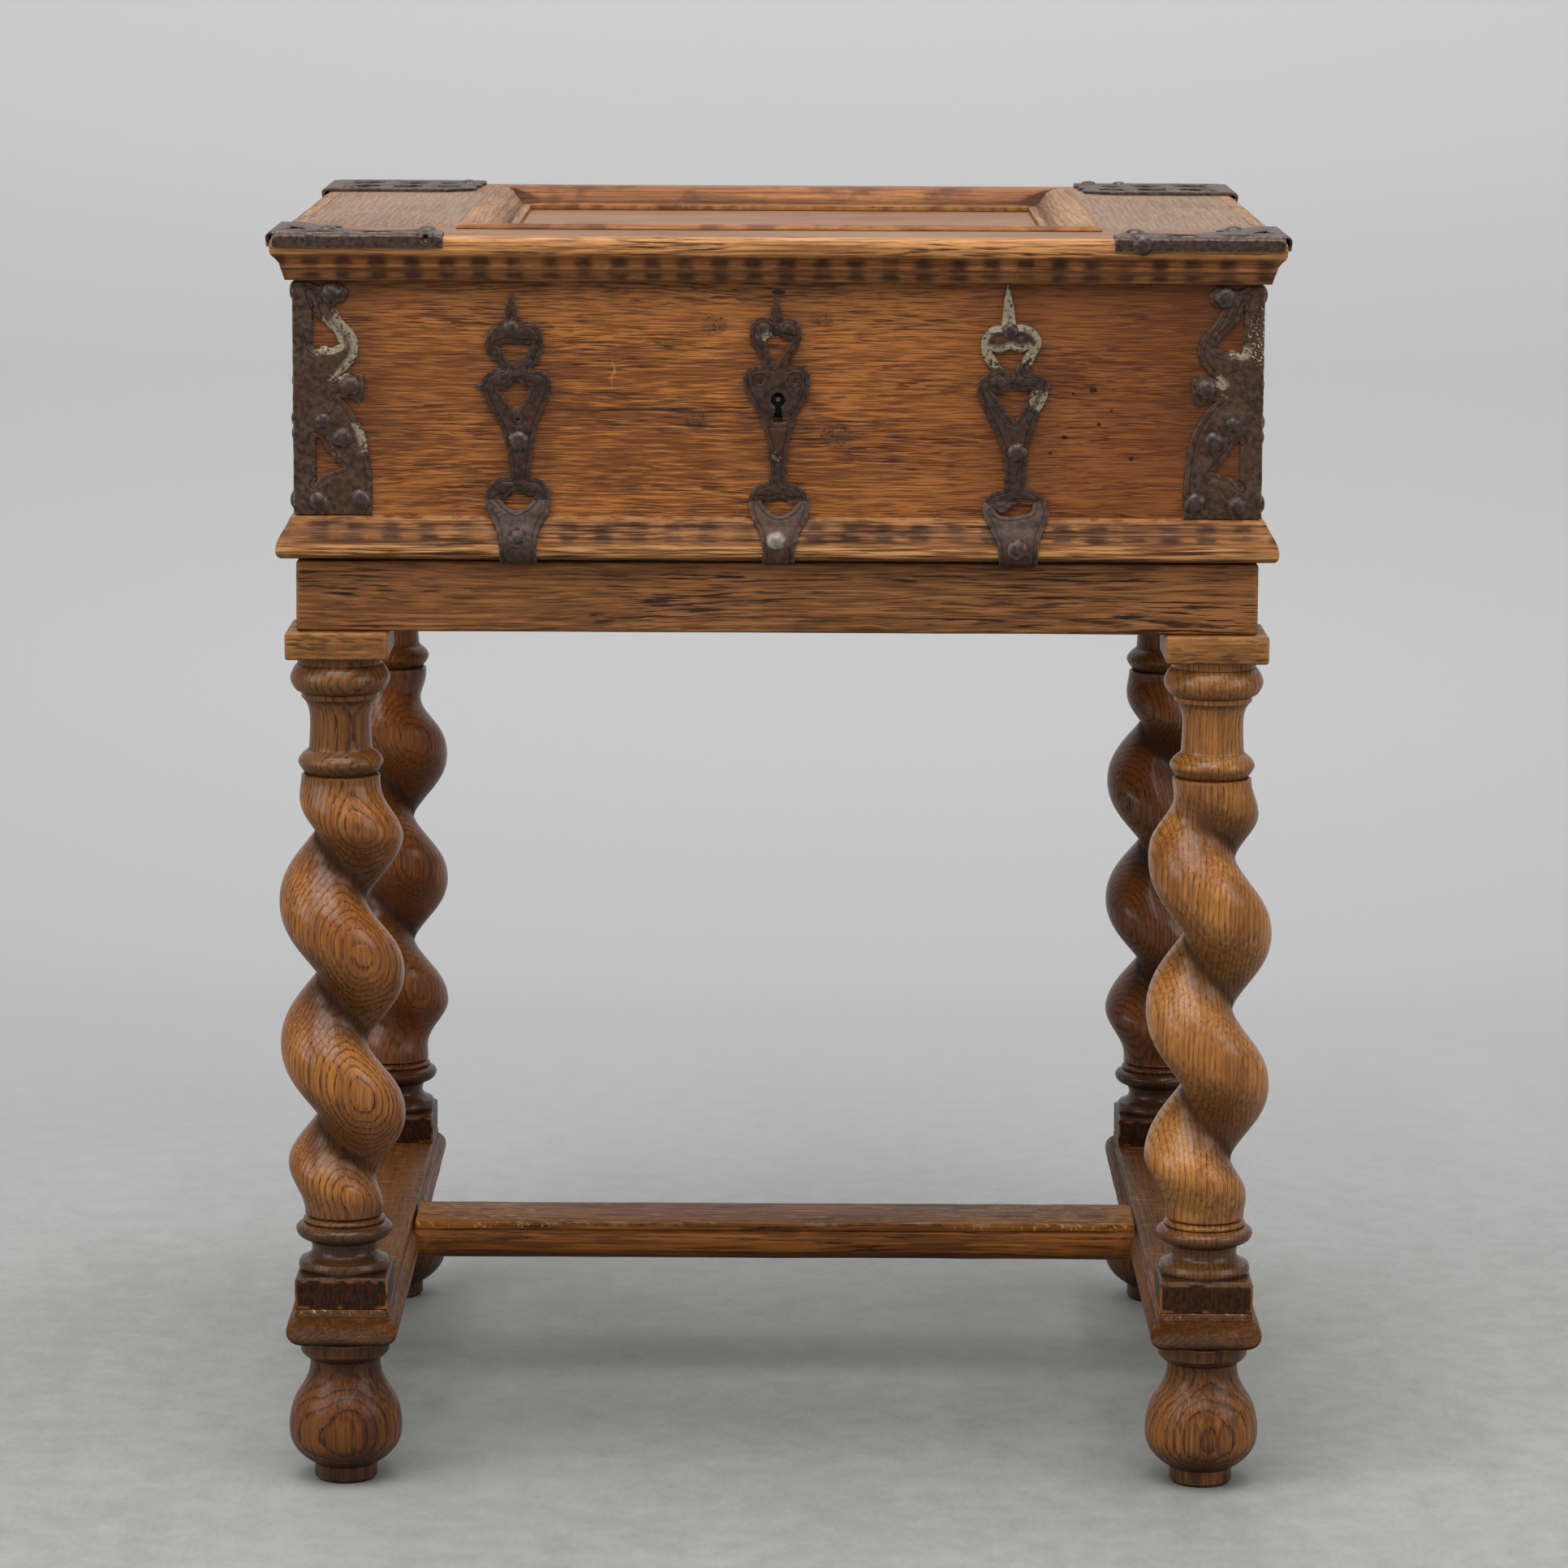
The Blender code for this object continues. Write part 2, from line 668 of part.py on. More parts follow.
def build_panel_moulding(panel_x, panel_y, centre_y, panel_top):
    """The raised moulding round the lid's panel: it holds the panel down and laps the frame."""
    sight = FRAME_BEAD_LAP - FRAME_BEAD_W
    crown = PANEL_DROP + FRAME_BEAD_RISE
    shares = [
        (0.0, 0.211), (0.172, 0.338), (0.362, 0.732), (0.414, 0.845), (0.707, 1.0), (0.845, 1.0),
        (1.0, 0.845),
    ]
    section = [(sight, GAP)]
    section += [(sight + out * FRAME_BEAD_W, up * crown) for out, up in shares]
    section += [(FRAME_BEAD_LAP, PANEL_DROP + GAP), (0.0, PANEL_DROP + GAP), (0.0, GAP)]
    bm = bmesh.new()
    corners = []
    for x, y in ((-1, -1), (1, -1), (1, 1), (-1, 1)):
        ring = [bm.verts.new((x * (panel_x + out), centre_y + y * (panel_y + out), panel_top + up))
                for out, up in section]
        corners.append([bm.edges.new(pair) for pair in zip(ring, ring[1:] + ring[:1])])
    for index, corner in enumerate(corners):
        bmesh.ops.bridge_loops(bm, edges=corner + corners[(index + 1) % 4])
    add_part("panel_moulding", mesh_from(bm), "lid_oak")


def scaled(shares, width, height):
    """Outline points given in shares of a width and a height."""
    return [(x * width, y * height, smooth) for x, y, smooth in shares]


def strap_outline():
    """Half outline of a front strap: up from its tab, over three hearts, to the spike.

    Heights are measured along the sheet from where it meets the wall.
    """
    return [(STRAP_TAB, -0.119 * STRAP_REACH, True)] + scaled([
        (0.923, 0.036, True), (0.625, 0.131, True), (0.279, 0.109, False), (0.298, 0.183, True),
        (0.365, 0.298, True), (1.000, 0.575, True), (0.649, 0.637, True), (0.298, 0.633, False),
        (0.808, 0.774, True), (0.457, 0.860, True), (0.183, 0.855, False), (0.000, 1.000, False),
    ], STRAP_HALF_W, STRAP_REACH)


def heart_hole(half_w, top, foot):
    """A pierced heart with a dipped top edge, on the strap's middle line, in shares of the strap."""
    dip = top - 0.010
    heart = [(half_w, top, False), (0.0, foot, False), (-half_w, top, False), (0.0, dip, True)]
    return scaled(heart, STRAP_HALF_W, STRAP_REACH)


def keyhole_outline(height):
    """The keyhole in the lock strap, about its round part's middle."""
    points = []
    open_angle = math.asin(KEYHOLE_SLOT / 2 / KEYHOLE_R)
    for step in range(6):
        angle = -math.pi / 2 + open_angle + (2 * math.pi - 2 * open_angle) * step / 5
        points.append((KEYHOLE_R * math.cos(angle), height + KEYHOLE_R * math.sin(angle), 0 < step < 5))
    foot = height - KEYHOLE_DROP
    return points + [(-KEYHOLE_SLOT / 2, foot, False), (KEYHOLE_SLOT / 2, foot, False)]


def build_straps():
    face = base_face()
    wall_up = BASE_H + STRAP_BRIDGE
    below = [(face[0][0] - STRAP_TAIL, 0.0)] + face + [(0.0, wall_up), (0.0, CASKET_H)]
    points = [(FRONT_Y - out, CASKET_Z + up) for out, up in below]
    route = Route(points, len(points) - 2)
    tail = route.marks[0]
    for name, x in STRAPS.items():
        outline = mirrored([(STRAP_TAB, tail, False)] + strap_outline())
        holes = [heart_hole(0.466, 0.764, 0.656), heart_hole(0.481, 0.044, -0.021)]
        if name == "middle":
            holes.append(keyhole_outline(KEYHOLE_Z - wall_up))
        else:
            holes.append(heart_hole(0.471, 0.556, 0.393))
        bm = fold_lines(sheet_mesh([outline] + holes), [(route, 1)])
        for vertex in bm.verts:
            y, z = route.point(vertex.co.y, vertex.co.z)
            vertex.co = (vertex.co.x + x, y, z)
        add_part("strap_" + name, mesh_from(bm), "iron")


def corner_outline():
    """One wing of a body corner iron: (out from the fold, up from its foot)."""
    return scaled([
        (1.000, 0.000, False), (0.961, 0.253, True), (0.799, 0.405, True), (0.606, 0.487, False),
        (0.822, 0.527, True), (0.729, 0.591, False), (0.819, 0.706, True), (0.498, 0.880, False),
        (0.653, 0.940, True), (0.278, 1.000, False),
    ], CORNER_W, CORNER_H)


def corner_holes():
    """The two pierced openings of one wing."""
    upper = [
        (0.213, 0.888, False), (0.569, 0.752, True), (0.597, 0.702, True),
        (0.528, 0.687, False), (0.347, 0.719, True), (0.213, 0.710, False),
    ]
    lower = [
        (0.250, 0.316, False), (0.449, 0.249, True), (0.620, 0.189, False),
        (0.405, 0.172, True), (0.250, 0.137, False),
    ]
    return [scaled(hole, CORNER_W, CORNER_H) for hole in (upper, lower)]


def flipped(outline):
    return [(-x, y, smooth) for x, y, smooth in outline]


def build_corner_irons():
    far_x = 2 * CORNER_W - SIDE_X
    far_y = 2 * CORNER_W + FRONT_Y
    route = Route([(far_x, FRONT_Y), (-SIDE_X, FRONT_Y), (-SIDE_X, far_y)], 1)
    holes = corner_holes()
    outlines = [mirrored(corner_outline())] + holes + [flipped(hole) for hole in holes]
    foot = CASKET_Z + BASE_H + GAP
    for name, (side, depth, _, _) in LEGS.items():
        bm = fold_lines(sheet_mesh(outlines), [(route, 0)])
        for vertex in bm.verts:
            x, y = route.point(vertex.co.x, vertex.co.z)
            vertex.co = (-side * x, -depth * y, foot + vertex.co.y)
        add_part("corner_iron_" + name, mesh_from(bm), "iron")


def lid_iron_outlines(low_x, low_y):
    """A lid corner iron laid flat: x along the front, y along the end, low at the flanges' edges."""
    notch = LID_IRON_NOTCH
    arm_x = LID_IRON_X
    arm_y = LID_IRON_Y
    band = LID_IRON_BAND
    plate = [
        (notch, low_y, False), (arm_x, low_y, False), (arm_x, band * 0.49, False),
        (arm_x * 0.922, band * 0.88, True), (arm_x * 0.811, band * 0.67, False),
        (arm_x * 0.578, band * 0.76, True), (band * 1.35, band * 1.18, True),
        (band * 0.94, arm_y * 0.524, True), (band * 0.78, arm_y * 0.793, False),
        (band, arm_y * 0.915, True), (band * 0.57, arm_y, False),
        (low_x, arm_y, False), (low_x, notch, False), (notch, notch, False),
    ]
    front_hole = [(0.233, 0.204, False), (0.533, 0.245, False), (0.444, 0.571, True), (0.300, 0.776, False)]
    tip_hole = [(0.644, 0.204, False), (0.844, 0.245, False), (0.733, 0.429, True)]
    end_hole = [(0.224, 0.293, False), (0.776, 0.341, False), (0.571, 0.488, True), (0.286, 0.610, False)]
    holes = [scaled(hole, arm_x, band) for hole in (front_hole, tip_hole)]
    return [plate] + holes + [scaled(end_hole, band, arm_y)]


def build_lid_irons():
    rounded = [(EDGE_W - out, LID_Z + up) for out, up in lid_round()]
    start = (0.0, rounded[0][1] - LID_IRON_FLANGE)
    finish = (2 * LID_IRON_X, LID_TOP)
    moulded = Route([start] + rounded + [finish], 3)
    square = Route([start, (0.0, LID_TOP), finish], 1)
    nose_x = LID_SIDE_X + EDGE_W
    nose_y = LID_FRONT_Y - EDGE_W
    for name, (side, depth, _, _) in LEGS.items():
        route_y = moulded if depth < 0 else square
        flat = sheet_mesh(lid_iron_outlines(moulded.marks[0], route_y.marks[0]))
        bm = fold_lines(flat, [(moulded, 0), (route_y, 1)])
        for vertex in bm.verts:
            along_x, z_x = moulded.point(vertex.co.x, vertex.co.z)
            along_y, z_y = route_y.point(vertex.co.y, vertex.co.z)
            x = side * (nose_x - along_x)
            y = nose_y + along_y if depth < 0 else BACK_Y - along_y
            vertex.co = (x, y, min(z_x, z_y))
        add_part("lid_iron_" + name, mesh_from(bm), "iron")


def hinge_rod(x, half_l, radius):
    """A round bar on the hinge's axis, about one hinge's middle."""
    return cylinder_mesh(radius, (x - half_l, HINGE_Y, HINGE_Z), (x + half_l, HINGE_Y, HINGE_Z))


def build_hinges():
    clear = BARREL_R + 2 * GAP
    half_barrel = BARREL_L / 2
    points = [(BACK_Y - HINGE_TAIL, CASKET_Z), (BACK_Y, CASKET_Z), (BACK_Y, HINGE_Z)]
    route = Route([(-y, z) for y, z in points], 1)
    half = HINGE_STRAP_W / 2
    top = HINGE_Z - CASKET_Z
    outline = mirrored([
        (half, -HINGE_TAIL, False), (half, top * 0.627, False), (half * 0.62, top * 0.720, True),
        (half * 0.8, top * 0.863, True), (half_barrel, top - 2 * clear, False), (half_barrel, top, False),
    ])
    for sign, name in ((-1, "left"), (1, "right")):
        x = sign * HINGE_SPACING / 2
        bm = fold_lines(sheet_mesh([outline]), [(route, 1)])
        for vertex in bm.verts:
            y, z = route.point(vertex.co.y, vertex.co.z)
            vertex.co = (x + vertex.co.x, -y, z)
        strap = add_part("hinge_strap_" + name, mesh_from(bm), "iron")
        combine(strap, hinge_rod(x, half_barrel, BARREL_R), "UNION")
        middle = KNUCKLE_L / 2 + GAP
        window = box_mesh((x - middle, BACK_Y - clear, HINGE_Z - clear),
                          (x + middle, HINGE_Y + clear, HINGE_Z + clear))
        combine(strap, window, "DIFFERENCE")
        combine(strap, hinge_rod(x, BARREL_L, PIN_R + PIN_FIT), "DIFFERENCE")
        build_lid_leaf(x, name, clear)
        build_hinge_pin(x, name, half_barrel)


def build_lid_leaf(x, name, clear):
    half = LEAF_W / 2
    knuckle = KNUCKLE_L / 2
    near = BACK_Y + GAP
    far = near + IRON
    top = HINGE_Z + LEAF_RISE
    plate = box_mesh((x - half, near, HINGE_Z + clear), (x + half, far, top))
    leaf = add_part("hinge_leaf_" + name, plate, "iron")
    tongue = box_mesh((x - knuckle, near, HINGE_Z), (x + knuckle, far, top))
    combine(leaf, tongue, "UNION")
    combine(leaf, hinge_rod(x, knuckle, BARREL_R), "UNION")
    combine(leaf, hinge_rod(x, BARREL_L, PIN_R + PIN_FIT), "DIFFERENCE")


def build_hinge_pin(x, name, half_barrel):
    end = half_barrel + GAP
    head = end + PIN_HEAD_H
    profile = [
        (0.0, head), (PIN_HEAD_R * 0.7, head), (PIN_HEAD_R, end + PIN_HEAD_H * 0.5), (PIN_HEAD_R, end),
        (PIN_R, end), (PIN_R, -end), (0.0, -end),
    ]
    place = (x, HINGE_Y, HINGE_Z)
    pin = add_part("hinge_pin_" + name, turned_mesh(profile, IRON_SIDES), "iron", place)
    pin.rotation_euler = (0.0, math.pi / 2, 0.0)


def build_lock():
    """The lock's case behind the front board, hollowed for the bolt, the staple and the key."""
    near = FRONT_Y + WALL_T + GAP
    far = near + LOCK_D
    open_y = near - THROUGH
    top = CASKET_TOP - LOCK_TOP
    bolt_y = near + BOLT_SET_BACK
    bolt_far = bolt_y + BOLT_T
    bolt_z = top - BOLT_DROP
    bolt_x = STAPLE_X - STAPLE_T / 2 - BOLT_PLAY - BOLT_L
    bolt_end = bolt_x + BOLT_L
    key_z = CASKET_Z + KEYHOLE_Z
    case = add_part("lock_case", box_mesh((-LOCK_W / 2, near, top - LOCK_H), (LOCK_W / 2, far, top)), "iron")
    soften(case)
    channel = box_mesh((bolt_x - BOLT_PLAY, open_y, bolt_z - GAP),
                       (bolt_end + BOLT_TRAVEL + BOLT_PLAY, bolt_far + GAP, bolt_z + BOLT_H + GAP))
    combine(case, channel, "DIFFERENCE")
    room = STAPLE_T / 2 + STAPLE_PLAY
    slot = box_mesh((STAPLE_X - room, open_y, LID_Z - STAPLE_L - BOLT_PLAY),
                    (STAPLE_X + room, near + STAPLE_W + STAPLE_ROOM, top + THROUGH))
    combine(case, slot, "DIFFERENCE")
    arm_foot = key_z + KEYHOLE_R + BOLT_ARM_CLEAR
    arm_room = box_mesh((KEYHOLE_X - BOLT_ARM_W - BOLT_PLAY / 2, open_y, arm_foot - STAPLE_PLAY),
                        (KEYHOLE_X + BOLT_TRAVEL + BOLT_PLAY / 2, bolt_far + GAP, bolt_z + GAP))
    combine(case, arm_room, "DIFFERENCE")
    pocket = cylinder_mesh(KEY_POCKET_R, (KEYHOLE_X, open_y, key_z), (KEYHOLE_X, far - LOCK_BACK_T, key_z))
    combine(case, pocket, "DIFFERENCE")
    post = cylinder_mesh(KEY_POST_R, (KEYHOLE_X, FRONT_Y + KEY_POST_RECESS, key_z),
                         (KEYHOLE_X, far - LOCK_BACK_T / 2, key_z), KEY_POST_SIDES)
    combine(case, post, "UNION")
    bar = box_mesh((bolt_x, bolt_y, bolt_z), (bolt_end, bolt_far, bolt_z + BOLT_H))
    bolt = add_part("lock_bolt", bar, "iron")
    arm = box_mesh((KEYHOLE_X - BOLT_ARM_W, bolt_y, arm_foot), (KEYHOLE_X, bolt_far, bolt_z + BOLT_H / 2))
    combine(bolt, arm, "UNION")
    build_staple(near, bolt_y + BOLT_T / 2, bolt_z + BOLT_H / 2)


def build_staple(near, eye_y, eye_z):
    """The lid's staple: a flange under the lid and a tongue with an eye for the bolt."""
    low = LID_Z - STAPLE_L
    top = LID_Z - GAP
    half = STAPLE_FLANGE_W / 2
    flange = box_mesh((STAPLE_X - half, near, top - IRON), (STAPLE_X + half, near + STAPLE_FLANGE_D, top))
    staple = add_part("lock_staple", flange, "iron")
    tongue_y = near + STAPLE_PLAY
    tongue = box_mesh((STAPLE_X - STAPLE_T / 2, tongue_y, low),
                      (STAPLE_X + STAPLE_T / 2, tongue_y + STAPLE_W, top - IRON / 2))
    combine(staple, tongue, "UNION")
    eye = box_mesh((STAPLE_X - STAPLE_T, eye_y - STAPLE_EYE_W / 2, eye_z - STAPLE_EYE_H / 2),
                   (STAPLE_X + STAPLE_T, eye_y + STAPLE_EYE_W / 2, eye_z + STAPLE_EYE_H / 2))
    combine(staple, eye, "DIFFERENCE")


def bail_points():
    """The bail's middle line from one eye to the other: stub, bend, and a squared loop."""
    half = [((EYE_SPACING - EYE_L) / 2 - BAIL_STUB, 0.0)]
    for step in range(4):
        angle = math.radians(90 - 30 * step)
        half.append((BAIL_HALF_W + BAIL_BEND * (math.cos(angle) - 1), BAIL_BEND * (math.sin(angle) - 1)))
    steps = 6
    loop_drop = BAIL_DROP - BAIL_BEND
    for step in range(1, steps + 1):
        angle = math.radians(90 * step / steps)
        half.append((BAIL_HALF_W * math.cos(angle) ** 0.6,
                     -BAIL_BEND - loop_drop * math.sin(angle) ** 0.75))
    return half + [(-y, z) for y, z in reversed(half[:-1])]


def build_handles():
    height = CASKET_Z + HANDLE_Z
    half_l = HANDLE_PLATE_L / 2
    half_h = HANDLE_PLATE_H / 2
    neck_h = EYE_R * 0.8
    for sign, name in ((-1, "left"), (1, "right")):
        wall = sign * (SIDE_X + GAP)
        axis = sign * (SIDE_X + EYE_STANDOFF)
        near, far = sorted((wall, wall + sign * IRON))
        back = box_mesh((near, -half_l, height - half_h), (far, half_l, height + half_h))
        plate = add_part("handle_plate_" + name, back, "iron")
        near, far = sorted((wall + sign * IRON / 2, axis))
        for end in (-1, 1):
            low = end * EYE_SPACING / 2 - EYE_L / 2
            high = low + EYE_L
            neck = box_mesh((near, low, height - neck_h), (far, high, height + neck_h))
            combine(plate, neck, "UNION")
            combine(plate, cylinder_mesh(EYE_R, (axis, low, height), (axis, high, height)), "UNION")
        hole = cylinder_mesh(BAIL_R + BAIL_FIT, (axis, -half_l, height), (axis, half_l, height), EYE_SIDES)
        combine(plate, hole, "DIFFERENCE")
        build_bail(name, (axis, 0.0, height))


def build_bail(name, place):
    curve = bpy.data.curves.new("bail", "CURVE")
    curve.dimensions = "3D"
    curve.bevel_depth = BAIL_R
    curve.bevel_resolution = 2
    curve.use_fill_caps = True
    spline = curve.splines.new("POLY")
    points = bail_points()
    spline.points.add(len(points) - 1)
    for point, (y, z) in zip(spline.points, points):
        point.co = (0.0, y, z, 1.0)
    item = bpy.data.objects.new("bail", curve)
    bpy.context.scene.collection.objects.link(item)
    add_part("bail_" + name, evaluated_mesh(item), "iron", place)


for item in list(bpy.data.objects):
    bpy.data.objects.remove(item)
PARTS = new_collection("travel_casket_on_stand")
CUTTERS = new_collection("cutters")
ROOT = bpy.data.objects.new("casket_and_stand", None)
PARTS.objects.link(ROOT)

build_feet()
build_stretchers()
build_legs()
build_frame()
build_casket()
build_base_moulding()
build_lid()
build_straps()
build_corner_irons()
build_lid_irons()
build_hinges()
build_lock()
build_handles()
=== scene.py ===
"""Oak travel casket with pierced iron mounts on a barley-twist stand, put together from the feet up."""
import math

import bmesh
import bpy
from mathutils import Euler, Matrix, Vector, kdtree, noise


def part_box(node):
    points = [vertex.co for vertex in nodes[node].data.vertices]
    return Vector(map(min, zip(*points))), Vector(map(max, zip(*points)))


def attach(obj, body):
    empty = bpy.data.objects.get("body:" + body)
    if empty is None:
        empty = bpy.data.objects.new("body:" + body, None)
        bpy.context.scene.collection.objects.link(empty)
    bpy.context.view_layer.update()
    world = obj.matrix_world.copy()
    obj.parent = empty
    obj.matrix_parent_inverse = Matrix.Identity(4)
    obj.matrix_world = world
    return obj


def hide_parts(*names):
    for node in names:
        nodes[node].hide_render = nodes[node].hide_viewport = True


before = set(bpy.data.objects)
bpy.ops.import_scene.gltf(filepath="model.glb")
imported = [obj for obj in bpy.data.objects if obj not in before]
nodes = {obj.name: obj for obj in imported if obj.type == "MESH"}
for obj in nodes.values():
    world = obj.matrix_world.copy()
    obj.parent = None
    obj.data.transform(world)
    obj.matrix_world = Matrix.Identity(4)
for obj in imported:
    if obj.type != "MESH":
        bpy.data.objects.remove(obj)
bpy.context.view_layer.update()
MM = 0.001


# Camera: it stands well back with a long lens, a little above the lid, as for a catalogue picture.
# The picture is square, and the camera is rolled by a quarter of a degree.
PICTURE_PX = 1932
FOCAL_PX = 7137.7
SENSOR_MM = 36.0
CAMERA_AT = (0.0045, -3.58664, 0.97974)
CAMERA_DIP = 0.1640
CAMERA_ROLL = 0.00481
camera_data = bpy.data.cameras.new("camera")
camera_data.sensor_width = SENSOR_MM
camera_data.lens = FOCAL_PX / PICTURE_PX * SENSOR_MM
camera = bpy.data.objects.new("camera", camera_data)
camera.matrix_world = (Matrix.Translation(CAMERA_AT)
                       @ Matrix.Rotation(math.pi / 2 - CAMERA_DIP, 4, "X")
                       @ Matrix.Rotation(CAMERA_ROLL, 4, "Z"))
bpy.context.scene.collection.objects.link(camera)
bpy.context.scene.camera = camera


# Feet: four pear-shaped buns of solid oak, turned on a lathe with a stub below and a collar above.
# Growth rings show as ovals on the round of each bun, and the stub is dark from the floor.
class Paint:
    """A socket of a material; arithmetic on it adds Math nodes, and node() adds any other node."""

    def __init__(self, tree, socket=None):
        self.tree = tree
        self.socket = socket

    def node(self, kind, settings=(), sockets=(), output=0):
        made = self.tree.nodes.new("ShaderNode" + kind)
        for name, value in dict(settings).items():
            setattr(made, name, value)
        for name, value in dict(sockets).items():
            if isinstance(value, Paint):
                self.tree.links.new(value.socket, made.inputs[name])
            else:
                made.inputs[name].default_value = value
        return Paint(self.tree, made.outputs[output])

    def math(self, operation, first, second=0.0):
        return self.node("Math", {"operation": operation}, {0: first, 1: second})

    def vector(self, operation, first, second):
        return self.node("VectorMath", {"operation": operation}, {0: first, 1: second})

    def length(self):
        return self.node("VectorMath", {"operation": "LENGTH"}, {0: self}, "Value")

    def along(self, axis):
        return self.node("SeparateXYZ", {}, {0: self}, axis)

    def mark(self, name):
        """A number that the mesh carries at each of its points."""
        return self.node("Attribute", {"attribute_name": name}, {}, "Fac")

    def __add__(self, other):
        return self.math("ADD", self, other)

    def __sub__(self, other):
        return self.math("SUBTRACT", self, other)

    def __rsub__(self, other):
        return self.math("SUBTRACT", other, self)

    def __mul__(self, other):
        return self.math("MULTIPLY", self, other)

    def __truediv__(self, other):
        return self.math("DIVIDE", self, other)

    __radd__ = __add__
    __rmul__ = __mul__


def blank(name):
    """A new material, a Paint to work on it with, and the place of each point on the object."""
    material = bpy.data.materials.new(name)
    material.use_nodes = True
    paint = Paint(material.node_tree)
    return material, paint, paint.node("TexCoord", output="Object")


def coat_with(material, paints):
    """Lead each paint into its socket of a material's shader, and hand the shader back."""
    shader = material.node_tree.nodes["Principled BSDF"]
    for socket, paint in paints.items():
        material.node_tree.links.new(paint.socket, shader.inputs[socket])
    return shader


def tint(red, green, blue):
    """A colour from its 0 to 255 values on a screen, as the linear colour that a shader takes."""
    shares = [value / 255 for value in (red, green, blue)]
    return tuple(((share + 0.055) / 1.055) ** 2.4 for share in shares) + (1.0,)


def ramp(value, low, high):
    """A soft step from 0 at low to 1 at high."""
    return value.node("MapRange", {"interpolation_type": "SMOOTHSTEP"}, {0: value, 1: low, 2: high})


def blend(share, under, over, mode="MIX"):
    """Lay one colour over another."""
    settings = {"data_type": "RGBA", "blend_type": mode}
    return share.node("Mix", settings, {0: share, 6: under, 7: over}, 2)


def stretched(place, sizes, detail=2.0):
    """Cloudy noise with so many spots to the metre along x, y and z."""
    spread = place.vector("MULTIPLY", place, sizes)
    return place.node("TexNoise", {}, {"Vector": spread, "Scale": 1.0, "Detail": detail})


def spot(place, middle, sizes):
    """One at the middle of an oval spot, falling to nothing at its half sizes along x, y and z."""
    away = place.vector("SUBTRACT", place, middle)
    scale = [1.0 / size for size in sizes]
    away = place.vector("MULTIPLY", away, scale)
    return ramp(away.length(), 1.0, 0.35)


GRAIN_TURN = {"X": (0.0, -math.pi / 2, 0.0), "Y": (math.pi / 2, 0.0, 0.0), "Z": (0.0, 0.0, 0.0)}


def oak(name, grain, pith, tones, ring=0.0030, ring_depth=0.6, dash=(700.0, 60.0), dash_depth=0.2,
        strands=14.0, streak=1.7, patchy=1.7, polish=0.42, wax=0.0, waxed_from=-1.0, shine=0.25,
        pale=(170, 120, 74), stain=None):
    """Oak with its fibres along one axis and its growth rings about a pith line through a point.

    Tones are the light wood, the darker wood and the open pores. Pores lie in dotted lines, one to
    a ring, and in clusters of short dashes, so many to the metre across and along. Outer edges are
    rubbed pale, creases and hollows are darkened as grime and painted shade, and undersides are
    darkened as painted shade, by the piece's own bend, hollow and under attributes. The wax begins
    at a height. A stain has the last word on the colour.
    """
    material, paint, place = blank(name)
    turn = Euler(GRAIN_TURN[grain])
    shift = -(turn.to_matrix() @ Vector(pith))
    log = paint.node("Mapping", {}, {"Vector": place, "Rotation": turn, "Location": shift})
    drift = (stretched(log, (22.0, 22.0, 3.2)) - 0.5) * 0.016
    drift = drift + (stretched(log, (170.0, 170.0, 24.0)) - 0.5) * 0.0016
    sideways = paint.node("CombineXYZ", {}, {0: drift, 1: drift})
    wavy = paint.vector("ADD", log, sideways)
    across = paint.vector("MULTIPLY", log, (1.0, 1.0, 0.0))
    radius = across.length()
    year = paint.math("FRACT", (radius + drift) / ring)
    dots = ramp(stretched(wavy, (950.0, 950.0, 130.0)), 0.40, 0.60)
    lines = ramp(year, 0.46, 0.0) * (dots * 0.7 + 0.3)
    clusters = ramp(stretched(wavy, (70.0, 70.0, 9.0)), 0.38, 0.62) * 0.6 + 0.4
    dashes = ramp(stretched(wavy, (dash[0], dash[0], dash[1])), 0.48, 0.62) * clusters
    pores = lines * ring_depth + dashes * dash_depth
    fibre = stretched(wavy, (dash[0] * 0.9, dash[0] * 0.9, strands), 3.0)
    cloud = stretched(log, (26.0, 26.0, 7.0), 3.0)
    tone = (fibre - 0.5) * streak + (cloud - 0.5) * patchy + 0.5
    colour = blend(ramp(tone, 0.0, 1.0), tint(*tones[0]), tint(*tones[1]))
    colour = blend(pores, colour, tint(*tones[2]))
    bend = paint.mark("bend")
    rubbed = ramp(bend * -1.0, 0.04, 0.24) * ramp(stretched(place, (140.0, 140.0, 140.0)), 0.36, 0.62)
    # Creases and hollows are darkened as grime and painted shade, and undersides as painted shade.
    hollow = ramp(paint.mark("hollow"), 0.05, 0.45)
    under = ramp(paint.mark("under"), 0.05, 0.85)
    grime_and_crease_shade = paint.math("MAXIMUM", ramp(bend, 0.015, 0.15), hollow)
    colour = blend(rubbed * 0.7, colour, tint(*pale))
    # painted shade on the undersides
    colour = blend(under * 0.6, colour, tint(38, 21, 11))
    # grime and painted shade in creases and hollows
    colour = blend(grime_and_crease_shade * 0.75, colour, tint(30, 17, 9))
    if stain:
        colour = stain(place, colour)
    height = fibre * 0.5 - pores * 1.2 + cloud * 0.4
    rough = polish + pores * 0.2 + (fibre - 0.5) * 0.25 + grime_and_crease_shade * 0.2
    waxed = ramp(place.along("Z"), waxed_from, waxed_from + 0.006)
    coat = (1.0 - paint.math("MAXIMUM", grime_and_crease_shade, under)) * waxed * wax
    bump = paint.node("Bump", {}, {"Strength": 0.45, "Distance": 0.0005, "Height": height})
    shader = coat_with(material, {"Base Color": colour, "Roughness": rough, "Normal": bump,
                                  "Coat Weight": coat})
    shader.inputs["Specular IOR Level"].default_value = shine
    shader.inputs["Coat Roughness"].default_value = 0.2
    return material


